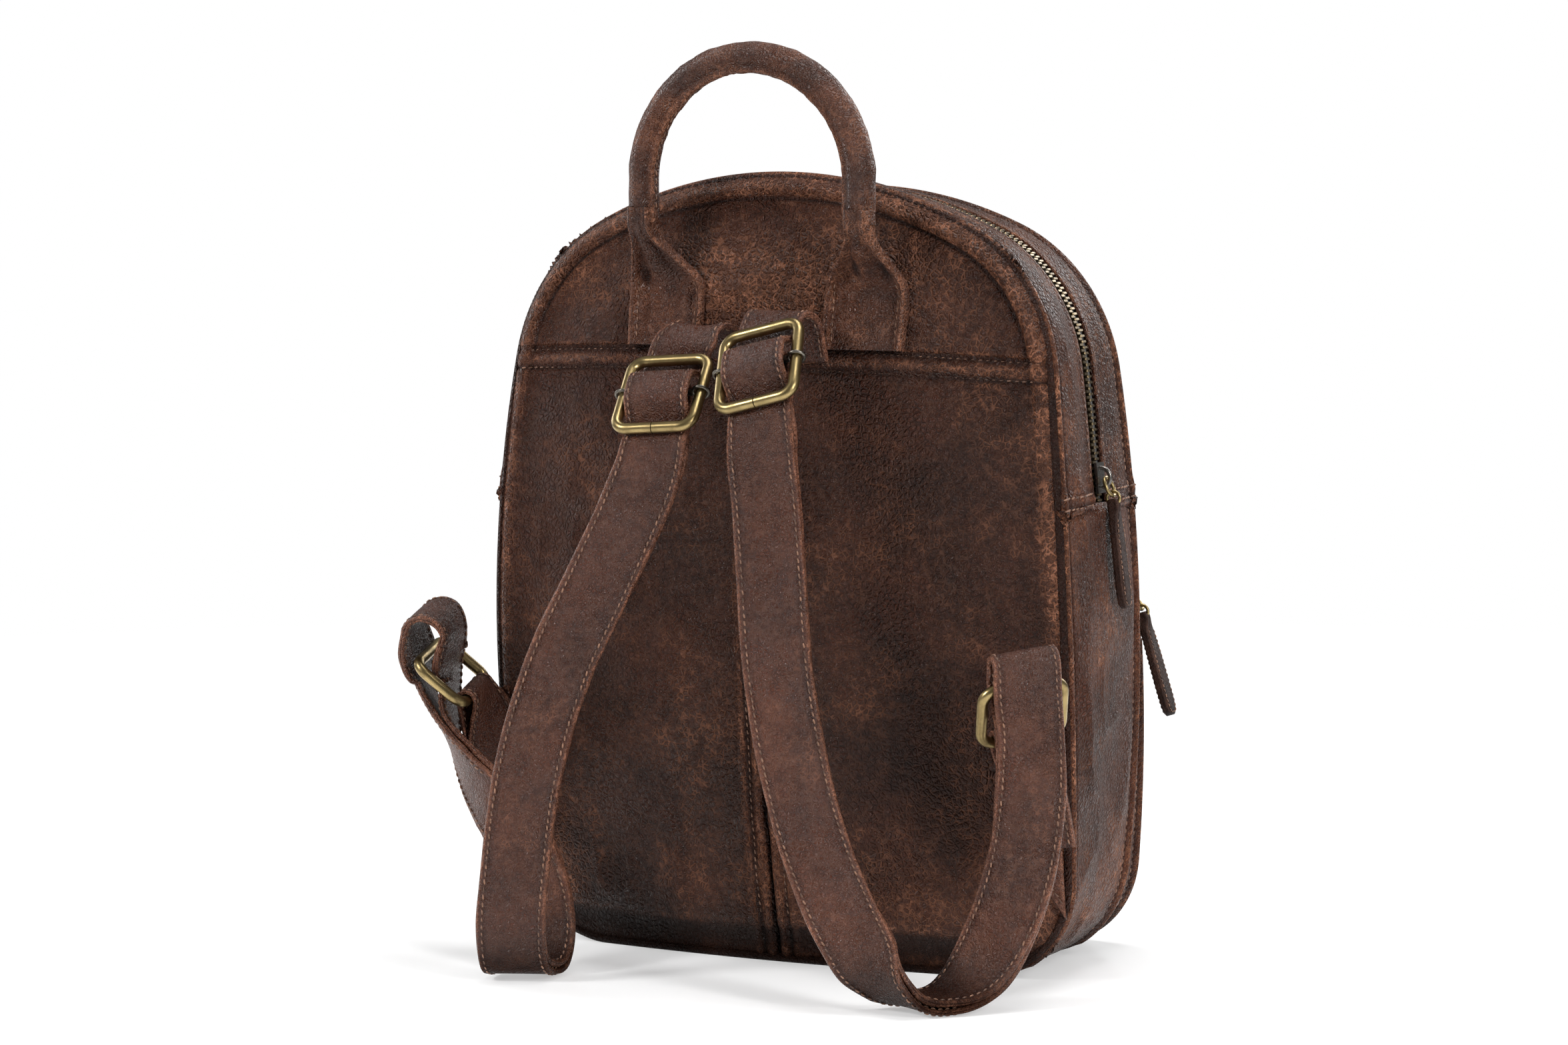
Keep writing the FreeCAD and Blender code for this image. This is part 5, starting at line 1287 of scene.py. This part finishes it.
def make_studio():
    """White sweep, soft light from above and both sides, and the camera."""
    near, far = 0.5, 1.4
    spokes = 64
    angle = turns(spokes)
    circle = np.stack([np.cos(angle), np.sin(angle), np.zeros(spokes)], -1)

    def stage_piece(name, rings, material):
        """A surface of revolution on the stage, from rings of (radius, height)."""
        points = np.concatenate([circle * radius + (0, 0, height) for radius, height in rings])
        mesh = bpy.data.meshes.new(name)
        mesh.from_pydata(points.tolist(), [],
                         lattice_faces(len(rings), spokes, closed=True).tolist())
        mesh.materials.append(material)
        return show(name, mesh)

    s = Shader("pale_floor")
    reach = s.node("VectorMath", {0: s.place}, operation="LENGTH").outputs["Value"]
    fade = s.ramp(reach, near, far)
    tone = s.mix(s.noise(400, 1), (0.80, 0.80, 0.80), (0.84, 0.84, 0.84))
    s.put(s.surface.inputs["Emission Strength"], s.ramp(reach, near, far, 0.40, 1.0))
    pale = s.finish(Base_Color=s.mix(fade, tone, (0.0, 0.0, 0.0)),
                    Emission_Color=(1.0, 1.0, 1.0), Specular_IOR_Level=0.35,
                    Roughness=s.ramp(s.noise(200, 2), 0.3, 0.7, 0.13, 0.17))
    floor = stage_piece("floor", [(r, 0.0) for r in (1e-3, 0.3, 0.6, 0.9, 1.2, far)], pale)

    # A white surround that only the camera sees, so it doesn't veil the leather.
    glow = Shader("white_backdrop")
    white = glow.finish(Base_Color=(0.0, 0.0, 0.0), Emission_Color=(1.0, 1.0, 1.0),
                        Emission_Strength=1.0, Specular_IOR_Level=0.0)
    dome = np.radians(np.linspace(0, 89.9, 12))
    rings = [(far, 0.0), (4.0, 0.0)] + [(13.5 * math.cos(t), 13.5 * math.sin(t)) for t in dome]
    backdrop = stage_piece("backdrop", rings, white)
    for flag in ("diffuse", "glossy", "transmission", "shadow"):
        setattr(backdrop, "visible_" + flag, False)

    world = bpy.data.worlds.new("studio")
    world.use_nodes = True
    sky = world.node_tree.nodes["Background"].inputs
    sky["Color"].default_value = (1, 1, 1, 1)
    sky["Strength"].default_value = 0.16
    bpy.context.scene.world = world
    bpy.context.scene.view_settings.view_transform = "Standard"

    middle = Vector((0, 0, 0.17))
    lights = (("key", (-1.35, -1.75, 1.55), 0.6, 0.6, 42),
              ("side", (1.9, -0.75, 1.05), 0.35, 1.1, 32),
              ("top", (0.1, 0.25, 1.9), 1.2, 0.8, 26),
              ("front", (0.4, 2.1, 1.2), 1.2, 1.2, 26),
              ("left", (-2.0, 0.4, 0.8), 0.7, 1.2, 14))
    for name, place, wide, tall, power in lights:
        lamp = bpy.data.lights.new(name, "AREA")
        lamp.shape = "RECTANGLE"
        lamp.size, lamp.size_y, lamp.energy = wide, tall, power
        shown = show(name, lamp)
        shown.location = place
        shown.rotation_euler = (middle - Vector(place)).to_track_quat("-Z", "Y").to_euler()

    camera = bpy.data.cameras.new("camera")
    camera.lens = 116.2
    camera.sensor_width = 36
    camera.shift_x, camera.shift_y = -0.0264, 0.0247
    camera.clip_end = 60
    shown = show("camera", camera)
    turn, rise, away = math.radians(28.3), math.radians(5.25), 2.2
    aim = Vector((math.sin(turn) * math.cos(rise), -math.cos(turn) * math.cos(rise),
                  math.sin(rise)))
    shown.location = middle + aim * away
    shown.rotation_euler = (-aim).to_track_quat("-Z", "Y").to_euler()
    bpy.context.scene.camera = shown


# ---- making

make_studio()
make_bag()
for strap_side in STRAPS:
    make_strap(strap_side)
make_handle()
zip_rows("main_zip", BAG, FLAP_LEVEL, 0, 7, "front_flap", 10.5)
zip_rows("pocket_zip", POCKET, POCKET_LEVEL, 63, 5, "pocket_flap", 7.6)
for pull in ("main", "pocket"):
    make_tab(pull)
make_inside()
repaint()
